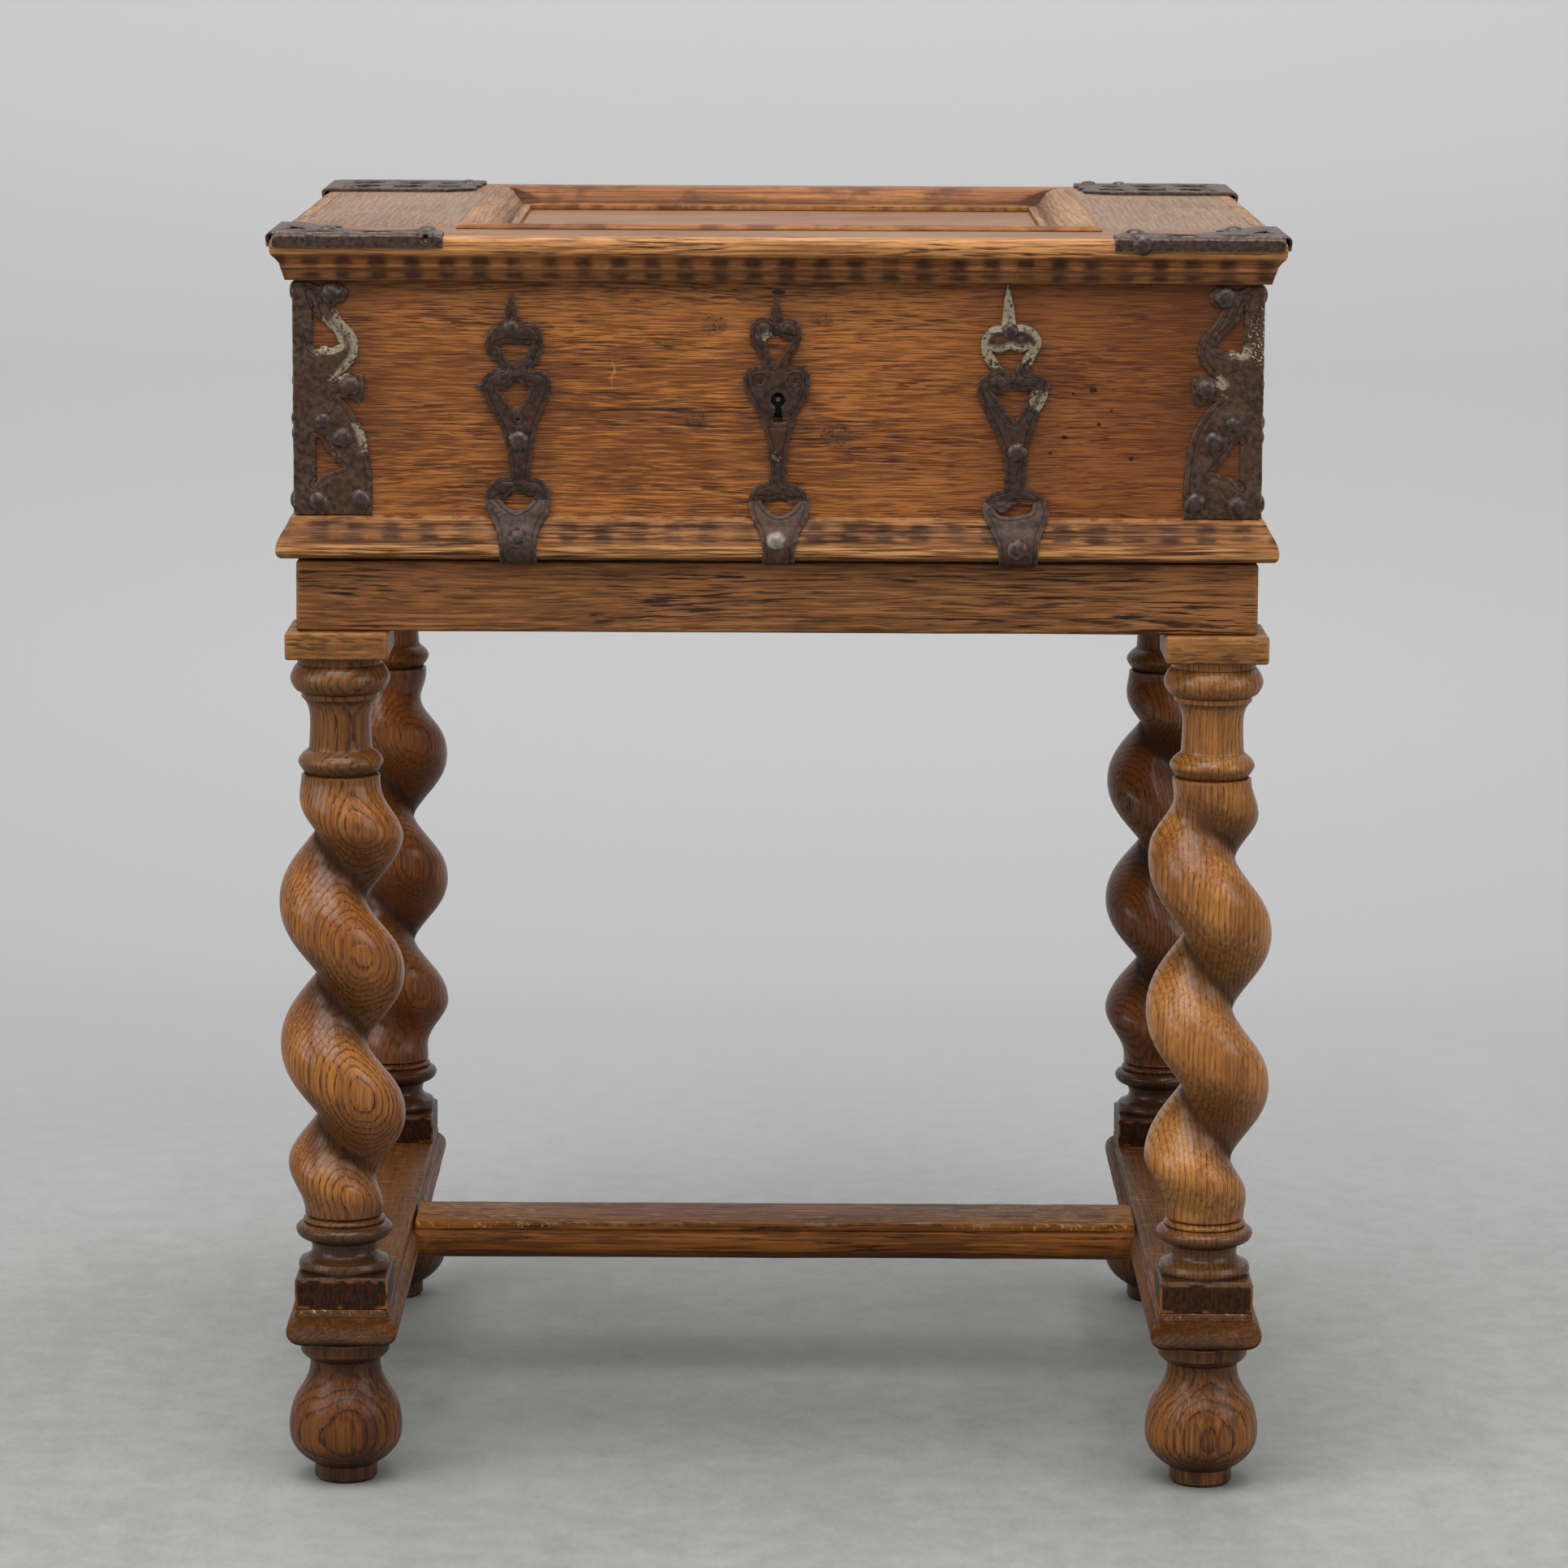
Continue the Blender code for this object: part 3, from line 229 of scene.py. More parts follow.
def flowing(points, steps=6):
    """Fill in a profile of (radius, height, soft) points: a curve runs through the soft ones."""
    line = []
    spots = [Vector(point[:2]) for point in points]
    for index in range(len(spots) - 1):
        start, end = spots[index], spots[index + 1]
        soft_start = points[index][2] and index > 0
        soft_end = points[index + 1][2] and index + 2 < len(spots)
        leave = (end - spots[index - 1]) / 2 if soft_start else end - start
        arrive = (spots[index + 2] - start) / 2 if soft_end else end - start
        for step in range(steps):
            t = step / steps
            line.append(start * (2 * t ** 3 - 3 * t ** 2 + 1) + leave * (t ** 3 - 2 * t ** 2 + t)
                        + end * (3 * t ** 2 - 2 * t ** 3) + arrive * (t ** 3 - t ** 2))
    return line + [spots[-1]]


def turned(profile, sides=64):
    """Spin a profile of (radius, height) points, from one end on the axis to the other."""
    bm = bmesh.new()
    line = [bm.verts.new((radius, 0.0, height)) for radius, height in profile]
    edges = [bm.edges.new(pair) for pair in zip(line, line[1:])]
    bmesh.ops.spin(bm, geom=line + edges, cent=(0, 0, 0), axis=(0, 0, 1), angle=2 * math.pi,
                   steps=sides, use_merge=True)
    bmesh.ops.remove_doubles(bm, verts=bm.verts, dist=1e-6)
    bmesh.ops.recalc_face_normals(bm, faces=bm.faces)
    return bm


def finished(name, bm, material, body, slot, *replaced, crease=38):
    """Turn a mesh into a piece that rides on a body, with its corners, hollows and undersides marked."""
    bmesh.ops.remove_doubles(bm, verts=bm.verts, dist=2e-6)
    bmesh.ops.recalc_face_normals(bm, faces=bm.faces)
    bm.normal_update()
    bend, hollow, under = [bm.verts.layers.float.new(mark) for mark in ("bend", "hollow", "under")]
    for vertex in bm.verts:
        ways = [(edge.other_vert(vertex).co - vertex.co).normalized() for edge in vertex.link_edges]
        vertex[bend] = sum(way.dot(vertex.normal) for way in ways) / max(len(ways), 1)
        vertex[under] = -vertex.normal.z
    shape = [(vertex.co.copy(), vertex.normal.copy()) for vertex in bm.verts]
    for _ in range(12):
        bmesh.ops.smooth_vert(bm, verts=bm.verts, factor=0.5, use_axis_x=True, use_axis_y=True,
                              use_axis_z=True)
    for vertex, (place, normal) in zip(bm.verts, shape):
        vertex[hollow] = (vertex.co - place).dot(normal) * 1000
        vertex.co = place
    mesh = bpy.data.meshes.new(name)
    bm.to_mesh(mesh)
    bm.free()
    mesh.shade_smooth()
    mesh.set_sharp_from_angle(angle=math.radians(crease))
    mesh.materials.append(material)
    piece = bpy.data.objects.new(name, mesh)
    bpy.context.scene.collection.objects.link(piece)
    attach(piece, body)
    if replaced:
        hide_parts(*replaced)
    return piece


def middle_of(node):
    """The middle of a solid's box."""
    low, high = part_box(node)
    return (low + high) / 2


CORNERS = {"front_left": (-1, -1), "front_right": (1, -1), "back_left": (-1, 1), "back_right": (1, 1)}
FOOT_MM = [
    (0.0, 86.5, 0), (26.5, 86.5, 0), (26.5, 79.0, 0), (24.5, 76.6, 1), (21.4, 74.5, 0), (21.0, 70.5, 1),
    (22.3, 64.0, 1), (25.5, 57.5, 1), (29.8, 50.5, 1), (32.4, 43.0, 1), (33.7, 34.0, 1), (32.8, 24.5, 1),
    (28.2, 17.0, 1), (21.8, 11.7, 1), (18.7, 10.6, 0), (18.7, 2.0, 0), (17.0, 0.0, 0), (0.0, 0.0, 0),
]
FOOT_OAK = {
    "front_left": ((120, 68, 26), (74, 39, 13), (34, 17, 6)),
    "front_right": ((146, 91, 42), (94, 55, 22), (38, 20, 8)),
    "back_left": ((104, 62, 32), (68, 38, 18), (38, 20, 10)),
    "back_right": ((108, 66, 34), (70, 40, 19), (40, 21, 10)),
}


def floor_dirt_and_neck_shade(place, colour):
    """The stub and the underside darken towards the floor with dirt, and painted shade darkens the neck under
    the stretcher.
    """
    height = place.along("Z")
    low = ramp(height, 0.026, 0.004) * ramp(stretched(place, (90.0, 90.0, 20.0)), 0.2, 0.6)
    colour = blend(low * 0.75, colour, tint(36, 22, 14))
    # painted shade on the neck under the stretcher
    return blend(ramp(height, 0.054, 0.074) * 0.5, colour, tint(44, 25, 13))


for corner, (side, depth) in CORNERS.items():
    at = middle_of("foot_" + corner)
    wood = oak("foot_oak_" + corner, "Z", (at.x - side * 0.006, at.y + 0.045, 0.0), FOOT_OAK[corner],
               ring=0.0038, ring_depth=0.9, streak=2.4, polish=0.40, wax=0.25, shine=0.15, stain=floor_dirt_and_neck_shade)
    bm = turned([point * MM for point in flowing(FOOT_MM)])
    bmesh.ops.translate(bm, verts=bm.verts, vec=(at.x, at.y, 0.0))
    finished("turned_foot_" + corner, bm, wood, "stand", "stand_oak", "foot_" + corner)


# Stretchers: a board with a rounded edge and a low step runs front to back over the feet on either
# side, and a third joins them across the middle. Tops are scuffed, and front ends show end grain.
ROUND = 0.0095
STEP_BACK = 0.005
STEP_H = 0.0036


def stretcher_edge(height):
    """Half section of a stretcher from bottom to top: (set back from the nose, height)."""
    straight = height - STEP_H
    lip = math.acos(1 - STEP_BACK / ROUND)
    edge = []
    for step in range(7):
        angle = math.pi / 2 * (1 - step / 6)
        edge.append((ROUND * (1 - math.cos(angle)), ROUND * (1 - math.sin(angle))))
    for step in range(7):
        angle = lip * step / 6
        edge.append((ROUND * (1 - math.cos(angle)), straight - ROUND * (1 - math.sin(angle))))
    edge += [(STEP_BACK + 0.0001, straight - 0.0003), (STEP_BACK + 0.0001, height - 0.0014)]
    return edge + [(STEP_BACK + 0.0005, height - 0.0004), (STEP_BACK + 0.0016, height)]


def cut_across(bm, point, normal):
    """Cut every face of a mesh along a plane."""
    everything = bm.verts[:] + bm.edges[:] + bm.faces[:]
    bmesh.ops.bisect_plane(bm, geom=everything, dist=1e-7, plane_co=point, plane_no=normal)


def slice_up(bm, axis, step):
    """Cut a mesh across an axis at even steps, so that it can be bent or roughened."""
    places = [vertex.co[axis] for vertex in bm.verts]
    low, high = min(places), max(places)
    normal = Vector((axis == 0, axis == 1, axis == 2))
    cuts = int((high - low) / step)
    for cut in range(1, cuts):
        cut_across(bm, normal * (low + (high - low) * cut / cuts), normal)


def hand_worked(bm, amount, fineness=45.0):
    """Take the machine's straightness off a mesh.

    The noise has no seed, so the unevenness is a little different in each run.
    """
    for vertex in bm.verts:
        vertex.co += noise.noise_vector(vertex.co * fineness) * amount


def moulded_board(half_w, half_l, edge):
    """A board about its middle with its edge moulded all round, from the bottom up."""
    bm = bmesh.new()
    back, _ = edge[0]
    outline = bmesh.ops.create_grid(bm, x_segments=1, y_segments=1, size=1.0)["verts"]
    bmesh.ops.scale(bm, verts=outline, vec=(half_w - back, half_l - back, 1.0))
    bmesh.ops.bevel(bm, geom=outline, affect="VERTICES", offset=0.003, segments=3, profile=0.5, material=-1)
    for (back, up), (next_back, next_up) in zip(edge, edge[1:]):
        top = max(bm.faces, key=lambda face: face.calc_center_median().z)
        grown = bmesh.ops.extrude_face_region(bm, geom=[top])["geom"]
        ring = [item for item in grown if isinstance(item, bmesh.types.BMVert)]
        bmesh.ops.translate(bm, verts=ring, vec=(0.0, 0.0, next_up - up))
        bmesh.ops.scale(bm, verts=ring, vec=((half_w - next_back) / (half_w - back),
                                             (half_l - next_back) / (half_l - back), 1.0))
    return bm


def scuffed(pale, axis, near, far):
    """Pale scuffs over a stretcher's upper side, and short yellow scratches where it is knocked most.

    The scratches begin at near, so far from the middle along an axis, and are full at far.
    """
    def stain(place, colour):
        height = place.along("Z")
        scuffs = ramp(stretched(place, (70.0, 260.0, 60.0), 4.0), 0.54, 0.70) * ramp(height, 0.1066, 0.1096)
        colour = blend(scuffs * 0.6, colour, tint(*pale))
        aslant = place.node("Mapping", {}, {"Vector": place, "Rotation": (0.0, 0.0, 0.5)})
        scratches = ramp(stretched(aslant, (90.0, 900.0, 200.0)), 0.60, 0.66)
        ends = ramp(place.math("ABSOLUTE", place.along(axis)), near, far)
        colour = blend(scratches * ends * ramp(height, 0.1050, 0.1085) * 0.75, colour, tint(210, 160, 92))
        front_end = ramp(place.along("Y"), -0.222, -0.236)
        grime = ramp(stretched(place, (140.0, 140.0, 260.0), 3.0), 0.3, 0.62)
        return blend(front_end * grime * 0.5, colour, tint(52, 24, 6))
    return stain


BOARD_OAK = ((120, 72, 30), (78, 45, 17), (38, 21, 8))
for side in ("left", "right"):
    node = "side_stretcher_" + side
    low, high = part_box(node)
    at = (low + high) / 2
    wood = oak("side_stretcher_oak_" + side, "Y", (at.x + 0.03, 0.0, low.z - 0.05), BOARD_OAK, ring=0.0032,
               ring_depth=0.35, dash_depth=0.3, shine=0.15, pale=(126, 76, 34),
               stain=scuffed((150, 104, 62), "Y", 0.20, 0.235))
    bm = moulded_board((high.x - low.x) / 2, (high.y - low.y) / 2, stretcher_edge(high.z - low.z))
    slice_up(bm, 1, 0.02)
    bmesh.ops.translate(bm, verts=bm.verts, vec=(at.x, at.y, low.z))
    hand_worked(bm, 0.0003)
    finished("moulded_side_stretcher_" + side, bm, wood, "stand", "stand_oak", node)


def run(section, start, end):
    """Run a section of (out, up) points from a start to an end face, both closed."""
    bm = bmesh.new()
    loops = []
    for place in (start, end):
        ring = [bm.verts.new(place(out, up)) for out, up in section]
        loops.append([bm.edges.new(pair) for pair in zip(ring, ring[1:] + ring[:1])])
        bm.faces.new(ring)
    bmesh.ops.bridge_loops(bm, edges=loops[0] + loops[1])
    return bm


low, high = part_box("cross_stretcher")
half_section = [((high.y - low.y) / 2 - back, up) for back, up in stretcher_edge(high.z - low.z)]
section = half_section + [(-out, up) for out, up in reversed(half_section)]
JOINT_DEPTH = 0.0015
bm = run(section, lambda out, up: Vector((low.x + JOINT_DEPTH, out, low.z + up)),
         lambda out, up: Vector((high.x - JOINT_DEPTH, out, low.z + up)))
slice_up(bm, 0, 0.02)
hand_worked(bm, 0.0003)
CROSS_OAK = ((146, 88, 33), (96, 55, 17), (38, 20, 7))
wood = oak("cross_stretcher_oak", "X", (0.0, -0.06, low.z + 0.005), CROSS_OAK, ring=0.0034, ring_depth=0.6,
           dash=(620.0, 30.0), dash_depth=0.6, streak=2.6, shine=0.15, pale=(150, 92, 38),
           stain=scuffed((168, 132, 98), "X", 0.08, 0.17))
finished("moulded_cross_stretcher", bm, wood, "stand", "stand_oak", "cross_stretcher")


# Legs: four oak posts turned and carved to an open left-hand twist, each in one piece with its square
# plinth, its base ring and its long neck. Grooves are dark with old wax and painted shade, and bulges
# are rubbed golden.
LEG_TOP_MM = [
    (0.0, 0.0, 0), (25.0, 0.0, 0), (25.0, 5.0, 0), (27.2, 7.8, 1), (29.3, 13.7, 1), (26.5, 20.0, 1),
    (22.8, 22.0, 0), (22.8, 24.8, 0), (20.0, 28.0, 1), (18.2, 34.0, 1), (17.9, 42.0, 1), (18.5, 54.5, 0),
    (19.0, 55.8, 0), (23.0, 59.2, 1), (25.0, 63.3, 1), (23.0, 67.4, 1), (20.8, 70.2, 0),
]
LEG_BASE_MM = [
    (20.8, 34.0, 0), (24.0, 31.8, 1), (24.2, 30.4, 1), (23.6, 29.4, 0), (27.2, 27.8, 1), (28.7, 25.0, 1),
    (26.6, 21.0, 1), (20.4, 18.2, 0), (19.2, 13.0, 1), (21.5, 9.0, 1), (26.0, 6.8, 0), (27.2, 4.4, 1),
    (27.3, 2.6, 1), (26.6, 1.0, 0), (26.6, 0.3, 0), (40.0, 0.0, 0), (40.0, -1.2, 0), (40.0, -18.2, 0),
    (0.0, -18.2, 0),
]
PLINTH_W = 0.055
PLINTH_H = 0.0182
PLINTH_ARRIS = 0.0012
LEG_BASE_H = 0.0345
LEG_NECK_H = 0.0712
TWIST_R = 0.0270
TWIST_SWELL = 0.0112
TWIST_FLAT = 0.0014
TWIST_END_R = 0.0232
TWIST_RUNOUT = 0.0398
TWIST_RINGS = 150
TWISTS = {
    "front_left": (0.0855, 0.2423), "front_right": (0.0912, 0.1775),
    "back_left": (0.084, 0.2177), "back_right": (0.080, 0.1627),
}
LEG_OAK = {
    "front_left": ((184, 118, 54), (126, 73, 30), (46, 24, 10)),
    "front_right": ((200, 134, 66), (142, 88, 39), (60, 33, 14)),
    "back_left": ((166, 96, 44), (114, 62, 26), (48, 25, 11)),
    "back_right": ((132, 78, 36), (90, 50, 22), (40, 21, 9)),
}
LEG_RINGS = {"front_left": 0.95, "front_right": 0.7, "back_left": 0.6, "back_right": 0.9}
LEG_PITH = {
    "front_left": (0.045, -0.097), "front_right": (-0.115, -0.02),
    "back_left": (0.05, -0.08), "back_right": (-0.07, -0.06),
}
NECK_DARK = {"front_left": 0.58, "front_right": 0.25, "back_left": 0.35, "back_right": 0.35}


def smoothstep(value):
    value = min(max(value, 0.0), 1.0)
    return value * value * (3.0 - 2.0 * value)


def waxed_and_shaded_grooves(x, y, foot, top, dark):
    """Old wax and painted shade in the groove, close to the leg's axis, and a darker polish on the neck, base
    and plinth.
    """
    def stain(place, colour):
        away = place.vector("SUBTRACT", place, (x, y, 0.0))
        away = place.vector("MULTIPLY", away, (1.0, 1.0, 0.0))
        reach = away.length()
        height = place.along("Z")
        uneven = stretched(place, (60.0, 60.0, 25.0)) - 0.5
        twisted = ramp(height, foot, foot + 0.02) * ramp(height, top, top - 0.02)
        patches = ramp(stretched(place, (42.0, 42.0, 20.0), 3.0), 0.48, 0.72)
        colour = blend(patches * twisted * 0.4, colour, tint(122, 62, 26))
        # old wax and painted shade darken the groove, close to the leg's axis
        groove = ramp(reach + uneven * 0.010, 0.0265, 0.0150) * twisted
        colour = blend(groove * 0.6, colour, tint(48, 27, 13))
        colour = blend((1.0 - twisted) * dark, colour, tint(58, 34, 18))
        base = ramp(height + uneven * 0.01, foot + 0.002, foot - 0.010)
        colour = blend(base * 0.65, colour, tint(42, 22, 10))
        plinth = ramp(height + uneven * 0.004, foot - 0.031, foot - 0.037)
        saw_marks = ramp(stretched(place, (700.0, 700.0, 260.0)), 0.36, 0.64)
        colour = blend(plinth * 0.9, colour, blend(saw_marks, tint(28, 13, 5), tint(58, 31, 14)))
        bend = place.mark("bend")
        worn = ramp(bend * -1.0, 0.03, 0.2) * ramp(stretched(place, (120.0, 120.0, 120.0)), 0.36, 0.6)
        return blend(plinth * worn * 0.7, colour, tint(156, 96, 50))
    return stain


for corner in CORNERS:
    node = "leg_" + corner
    low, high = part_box(node)
    at = middle_of("cap_" + corner)
    leg_h = high.z - low.z
    twist_top = leg_h - LEG_NECK_H
    twist_foot = PLINTH_H + LEG_BASE_H
    profile = [Vector((r * MM, leg_h - down * MM)) for r, down in flowing(LEG_TOP_MM)]
    for ring in range(TWIST_RINGS + 1):
        profile.append(Vector((TWIST_END_R, twist_top + (twist_foot - twist_top) * ring / TWIST_RINGS)))
    profile += [Vector((r * MM, PLINTH_H + up * MM)) for r, up in flowing(LEG_BASE_MM)]
    bm = turned(profile, 72)
    pitch, bulge_left = TWISTS[corner]
    for vertex in bm.verts:
        x, y, height = vertex.co
        strand = math.pi + 2 * math.pi * (bulge_left - height) / pitch
        turn = math.atan2(y, x) - strand
        radius = TWIST_R + TWIST_SWELL * math.cos(turn) - TWIST_FLAT * math.cos(2 * turn)
        inside = min(twist_top - height, height - twist_foot)
        carved = 1 + (radius / TWIST_END_R - 1) * smoothstep(inside / TWIST_RUNOUT)
        vertex.co.x = x * carved
        vertex.co.y = y * carved
        if height < PLINTH_H + 0.0004:
            half = PLINTH_W / 2 - max(0.0, height - PLINTH_H + PLINTH_ARRIS)
            vertex.co.x = min(max(x, -half), half)
            vertex.co.y = min(max(y, -half), half)
    bmesh.ops.translate(bm, verts=bm.verts, vec=(at.x, at.y, low.z))
    pith = LEG_PITH[corner]
    wood = oak("leg_oak_" + corner, "Z", (at.x + pith[0], at.y + pith[1], 0.0), LEG_OAK[corner],
               ring=0.0030, ring_depth=LEG_RINGS[corner], dash=(620.0, 75.0), dash_depth=0.3, polish=0.38,
               wax=0.45, waxed_from=low.z + twist_foot - 0.037, shine=0.15,
               stain=waxed_and_shaded_grooves(at.x, at.y, low.z + twist_foot, low.z + twist_top, NECK_DARK[corner]))
    finished("twist_leg_" + corner, bm, wood, "stand", "stand_oak", node)


# Caps: a square block on each leg, which carries a corner of the frame.
# The oak is golden, with short wavy pores across its front.
def board(low, high, edge=0.0012, rim=0.004):
    """A sawn board between two corners, its arrises eased."""
    bm = bmesh.new()
    bmesh.ops.create_cube(bm, size=1.0)
    bmesh.ops.scale(bm, verts=bm.verts, vec=high - low)
    bmesh.ops.translate(bm, verts=bm.verts, vec=(high + low) / 2)
    bmesh.ops.bevel(bm, geom=bm.edges[:], affect="EDGES", offset=edge, segments=3, profile=0.5, material=-1)
    broad = sorted(bm.faces, key=lambda face: face.calc_area())[-6:]
    bmesh.ops.inset_individual(bm, faces=broad, thickness=rim)
    return bm


for corner in CORNERS:
    low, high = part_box("cap_" + corner)
    wood = oak("cap_oak_" + corner, "X", (0.0, low.y - 0.03, low.z - 0.09),
               ((170, 115, 61), (122, 78, 39), (48, 28, 13)), ring=0.0035, ring_depth=0.15,
               dash=(600.0, 85.0), dash_depth=0.75, strands=40.0)
    bm = board(low, high, 0.0016)
    finished("block_cap_" + corner, bm, wood, "stand", "stand_oak", "cap_" + corner)


# Frame: four oak rails on the caps, butted and pegged, on which the casket stands loose.
# The rails are mid brown with long dark lines of grain.
FRAME_OAK = ((160, 104, 58), (116, 72, 37), (40, 23, 11))
for side in ("front", "back", "left", "right"):
    node = "frame_rail_" + side
    low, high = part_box(node)
    along = "X" if side in ("front", "back") else "Y"
    at = (low + high) / 2
    pith = (0.0, at.y - 0.02, low.z - 0.10) if along == "X" else (at.x - 0.02, 0.0, low.z - 0.10)
    wood = oak("frame_oak_" + side, along, pith, FRAME_OAK, ring=0.0110, ring_depth=0.25, dash=(780.0, 36.0),
               dash_depth=0.95, strands=28.0, streak=3.2)
    bm = board(low, high, 0.0015)
    slice_up(bm, 0 if along == "X" else 1, 0.03)
    hand_worked(bm, 0.0003, 20.0)
    finished("sawn_frame_rail_" + side, bm, wood, "stand", "stand_oak", node)


# Casket walls: four boards nailed up into a box, with the bottom board below them. The front is
# quarter-sawn oak, orange brown, with cracks, knots and a worn slot hole above the lock.
CASKET_OAK = ((189, 118, 57), (122, 69, 31), (40, 21, 9))
WALL_FRONT_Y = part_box("wall_front")[0].y
MARK_DEPTH = 0.02
KNOTS = [
    (-0.0369, 0.6948, 0.0110, 0.0085), (-0.0475, 0.6385, 0.0100, 0.0080),
    (0.0340, 0.6310, 0.0140, 0.0110), (0.0250, 0.6990, 0.0110, 0.0070),
]
CRACKS = [
    (-0.0770, 0.6445, 0.0850, 0.0012), (-0.0480, 0.6368, 0.0260, 0.0011),
    (0.0400, 0.6388, 0.0280, 0.0009),
]
SPECKS = [
    (0.1825, 0.6580, 0.0032, 0.0022), (0.1710, 0.6560, 0.0014, 0.0012), (0.1660, 0.6305, 0.0026, 0.0018),
    (0.2050, 0.6180, 0.0022, 0.0020), (0.1860, 0.6380, 0.0016, 0.0016), (0.1930, 0.6460, 0.0012, 0.0012),
    (0.1580, 0.6215, 0.0014, 0.0012), (0.0000, 0.7138, 0.0056, 0.0019),
]


def front_spot(place, x, z, half_w, half_h):
    """An oval spot on the front board."""
    return spot(place, (x, WALL_FRONT_Y, z), (half_w, MARK_DEPTH, half_h))


def front_marks(place, colour):
    """The front board's knots, cracks and specks, a grey band under the lid, and darker patches about the
    irons.
    """
    height = place.along("Z")
    across = place.along("X")
    uneven = stretched(place, (18.0, 18.0, 40.0), 3.0)
    band = ramp(height + (uneven - 0.5) * 0.02, 0.690, 0.716)
    colour = blend(band * 0.4, colour, tint(86, 58, 36))
    colour = blend(ramp(across + (uneven - 0.5) * 0.1, -0.02, 0.22) * 0.6, colour, tint(92, 42, 16))
    colour = blend(ramp(across * -1.0 + (uneven - 0.5) * 0.1, 0.12, 0.26) * 0.3, colour, tint(86, 46, 22))
    # darker oval patches about the straps and corner irons
    darkened_about_irons = []
    for side in ("left", "middle", "right"):
        at = middle_of("strap_" + side)
        darkened_about_irons.append((at.x, at.z + 0.018, 0.034))
    darkened_about_irons += [(-0.262, 0.652, 0.048), (0.262, 0.652, 0.048)]
    for x, z, half_w in darkened_about_irons:
        here = front_spot(place, x, z, half_w, 0.085)
        colour = blend(here * 0.4, colour, tint(64, 34, 17))
    ragged = stretched(place, (300.0, 300.0, 520.0), 3.0) - 0.5
    curls = stretched(place, (110.0, 110.0, 150.0), 2.0)
    squiggle = ramp(place.math("ABSOLUTE", curls - 0.5), 0.018, 0.004)
    for x, z, half_w, half_h in KNOTS:
        here = front_spot(place, x, z, half_w, half_h) + ragged * 0.8
        colour = blend(ramp(here, 0.1, 1.0) * 0.45, colour, tint(70, 50, 36))
        colour = blend(ramp(here, 0.2, 0.7) * squiggle * 0.85, colour, tint(34, 20, 12))
    for x, z, half_w, half_h in CRACKS:
        bent = place.node("CombineXYZ", {}, {2: (uneven - 0.5) * 0.008})
        here = front_spot(place.vector("ADD", place, bent), x, z, half_w, half_h)
        colour = blend(here * 0.85, colour, tint(36, 20, 10))
    for x, z, half_w, half_h in SPECKS:
        here = front_spot(place, x, z, half_w, half_h)
        colour = blend(ramp(here + ragged * 0.6, 0.2, 0.6) * 0.9, colour, tint(22, 13, 9))
    sway = place.node("CombineXYZ", {}, {0: (uneven - 0.5) * 0.03})
    scratch = front_spot(place.vector("ADD", place, sway), -0.0985, 0.6665, 0.0010, 0.0115)
    return blend(scratch * 0.3, colour, tint(200, 158, 108))


def dress(node, material):
    """Give a kept CAD node its own finish."""
    nodes[node].data.materials.clear()
    nodes[node].data.materials.append(material)


dress("wall_front", oak("front_board_oak", "X", (0.0, -0.30, 0.35), CASKET_OAK, ring=0.0045, ring_depth=0.2,
                        dash=(1150.0, 56.0), dash_depth=0.8, strands=38.0, streak=3.6, polish=0.45,
                        stain=front_marks))
dress("wall_back", oak("back_board_oak", "X", (0.0, 0.20, 0.40), ((140, 94, 58), (96, 62, 38), (56, 35, 22)),
                       ring=0.0036, polish=0.5))
for side, sign in (("left", -1), ("right", 1)):
    dress("wall_" + side, oak("end_board_oak_" + side, "Y", (sign * 0.25, 0.0, 0.42),
                              ((150, 98, 56), (104, 65, 36), (60, 36, 20)), ring=0.0033, polish=0.46))
dress("bottom_board", oak("bottom_board_oak", "X", (0.0, 0.05, 0.47),
                          ((122, 82, 52), (84, 54, 34), (50, 31, 20)), ring=0.004, polish=0.55))


# Base mouldings: an oak bead with a rounded nose, run along the front and both ends, mitred at
# the corners and nailed to the box. It is scorched or stained in two rows of dark blotches.
BASE_FACE_MM = flowing([(10.0, 0.0, 0), (11.9, 1.6, 1), (12.7, 5.0, 1), (11.8, 9.5, 1), (9.9, 13.7, 1),
                        (6.9, 18.6, 1), (4.7, 23.0, 0)], 3)
CASKET_LOW, CASKET_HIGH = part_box("bottom_board")
BASE_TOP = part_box("base_moulding_front")[1].z


def blotched(axis, rows, spacing, dark, strength):
    """Rows of soft dark blotches at uneven steps along a run; a row is (height, half height, shift)."""
    def stain(place, colour):
        along = place.along(axis)
        height = place.along("Z")
        ragged = stretched(place, (90.0, 90.0, 260.0), 4.0) - 0.5
        wander = (stretched(place, (11.0, 11.0, 11.0)) - 0.5) * 0.011
        for middle, half_h, shift in rows:
            uneven = ramp(stretched(place, (24.0, 24.0, 60.0)), 0.26, 0.52) * 0.7 + 0.3
            wave = place.math("SINE", (along + wander + shift) * (2 * math.pi / spacing))
            near = place.math("ABSOLUTE", height - middle) / half_h
            here = ramp(wave + ragged * 2.6, -0.9, 0.9) * ramp(near + ragged * 1.4, 1.5, 0.2)
            colour = blend(here * uneven * strength, colour, tint(*dark))
        return colour
    return stain


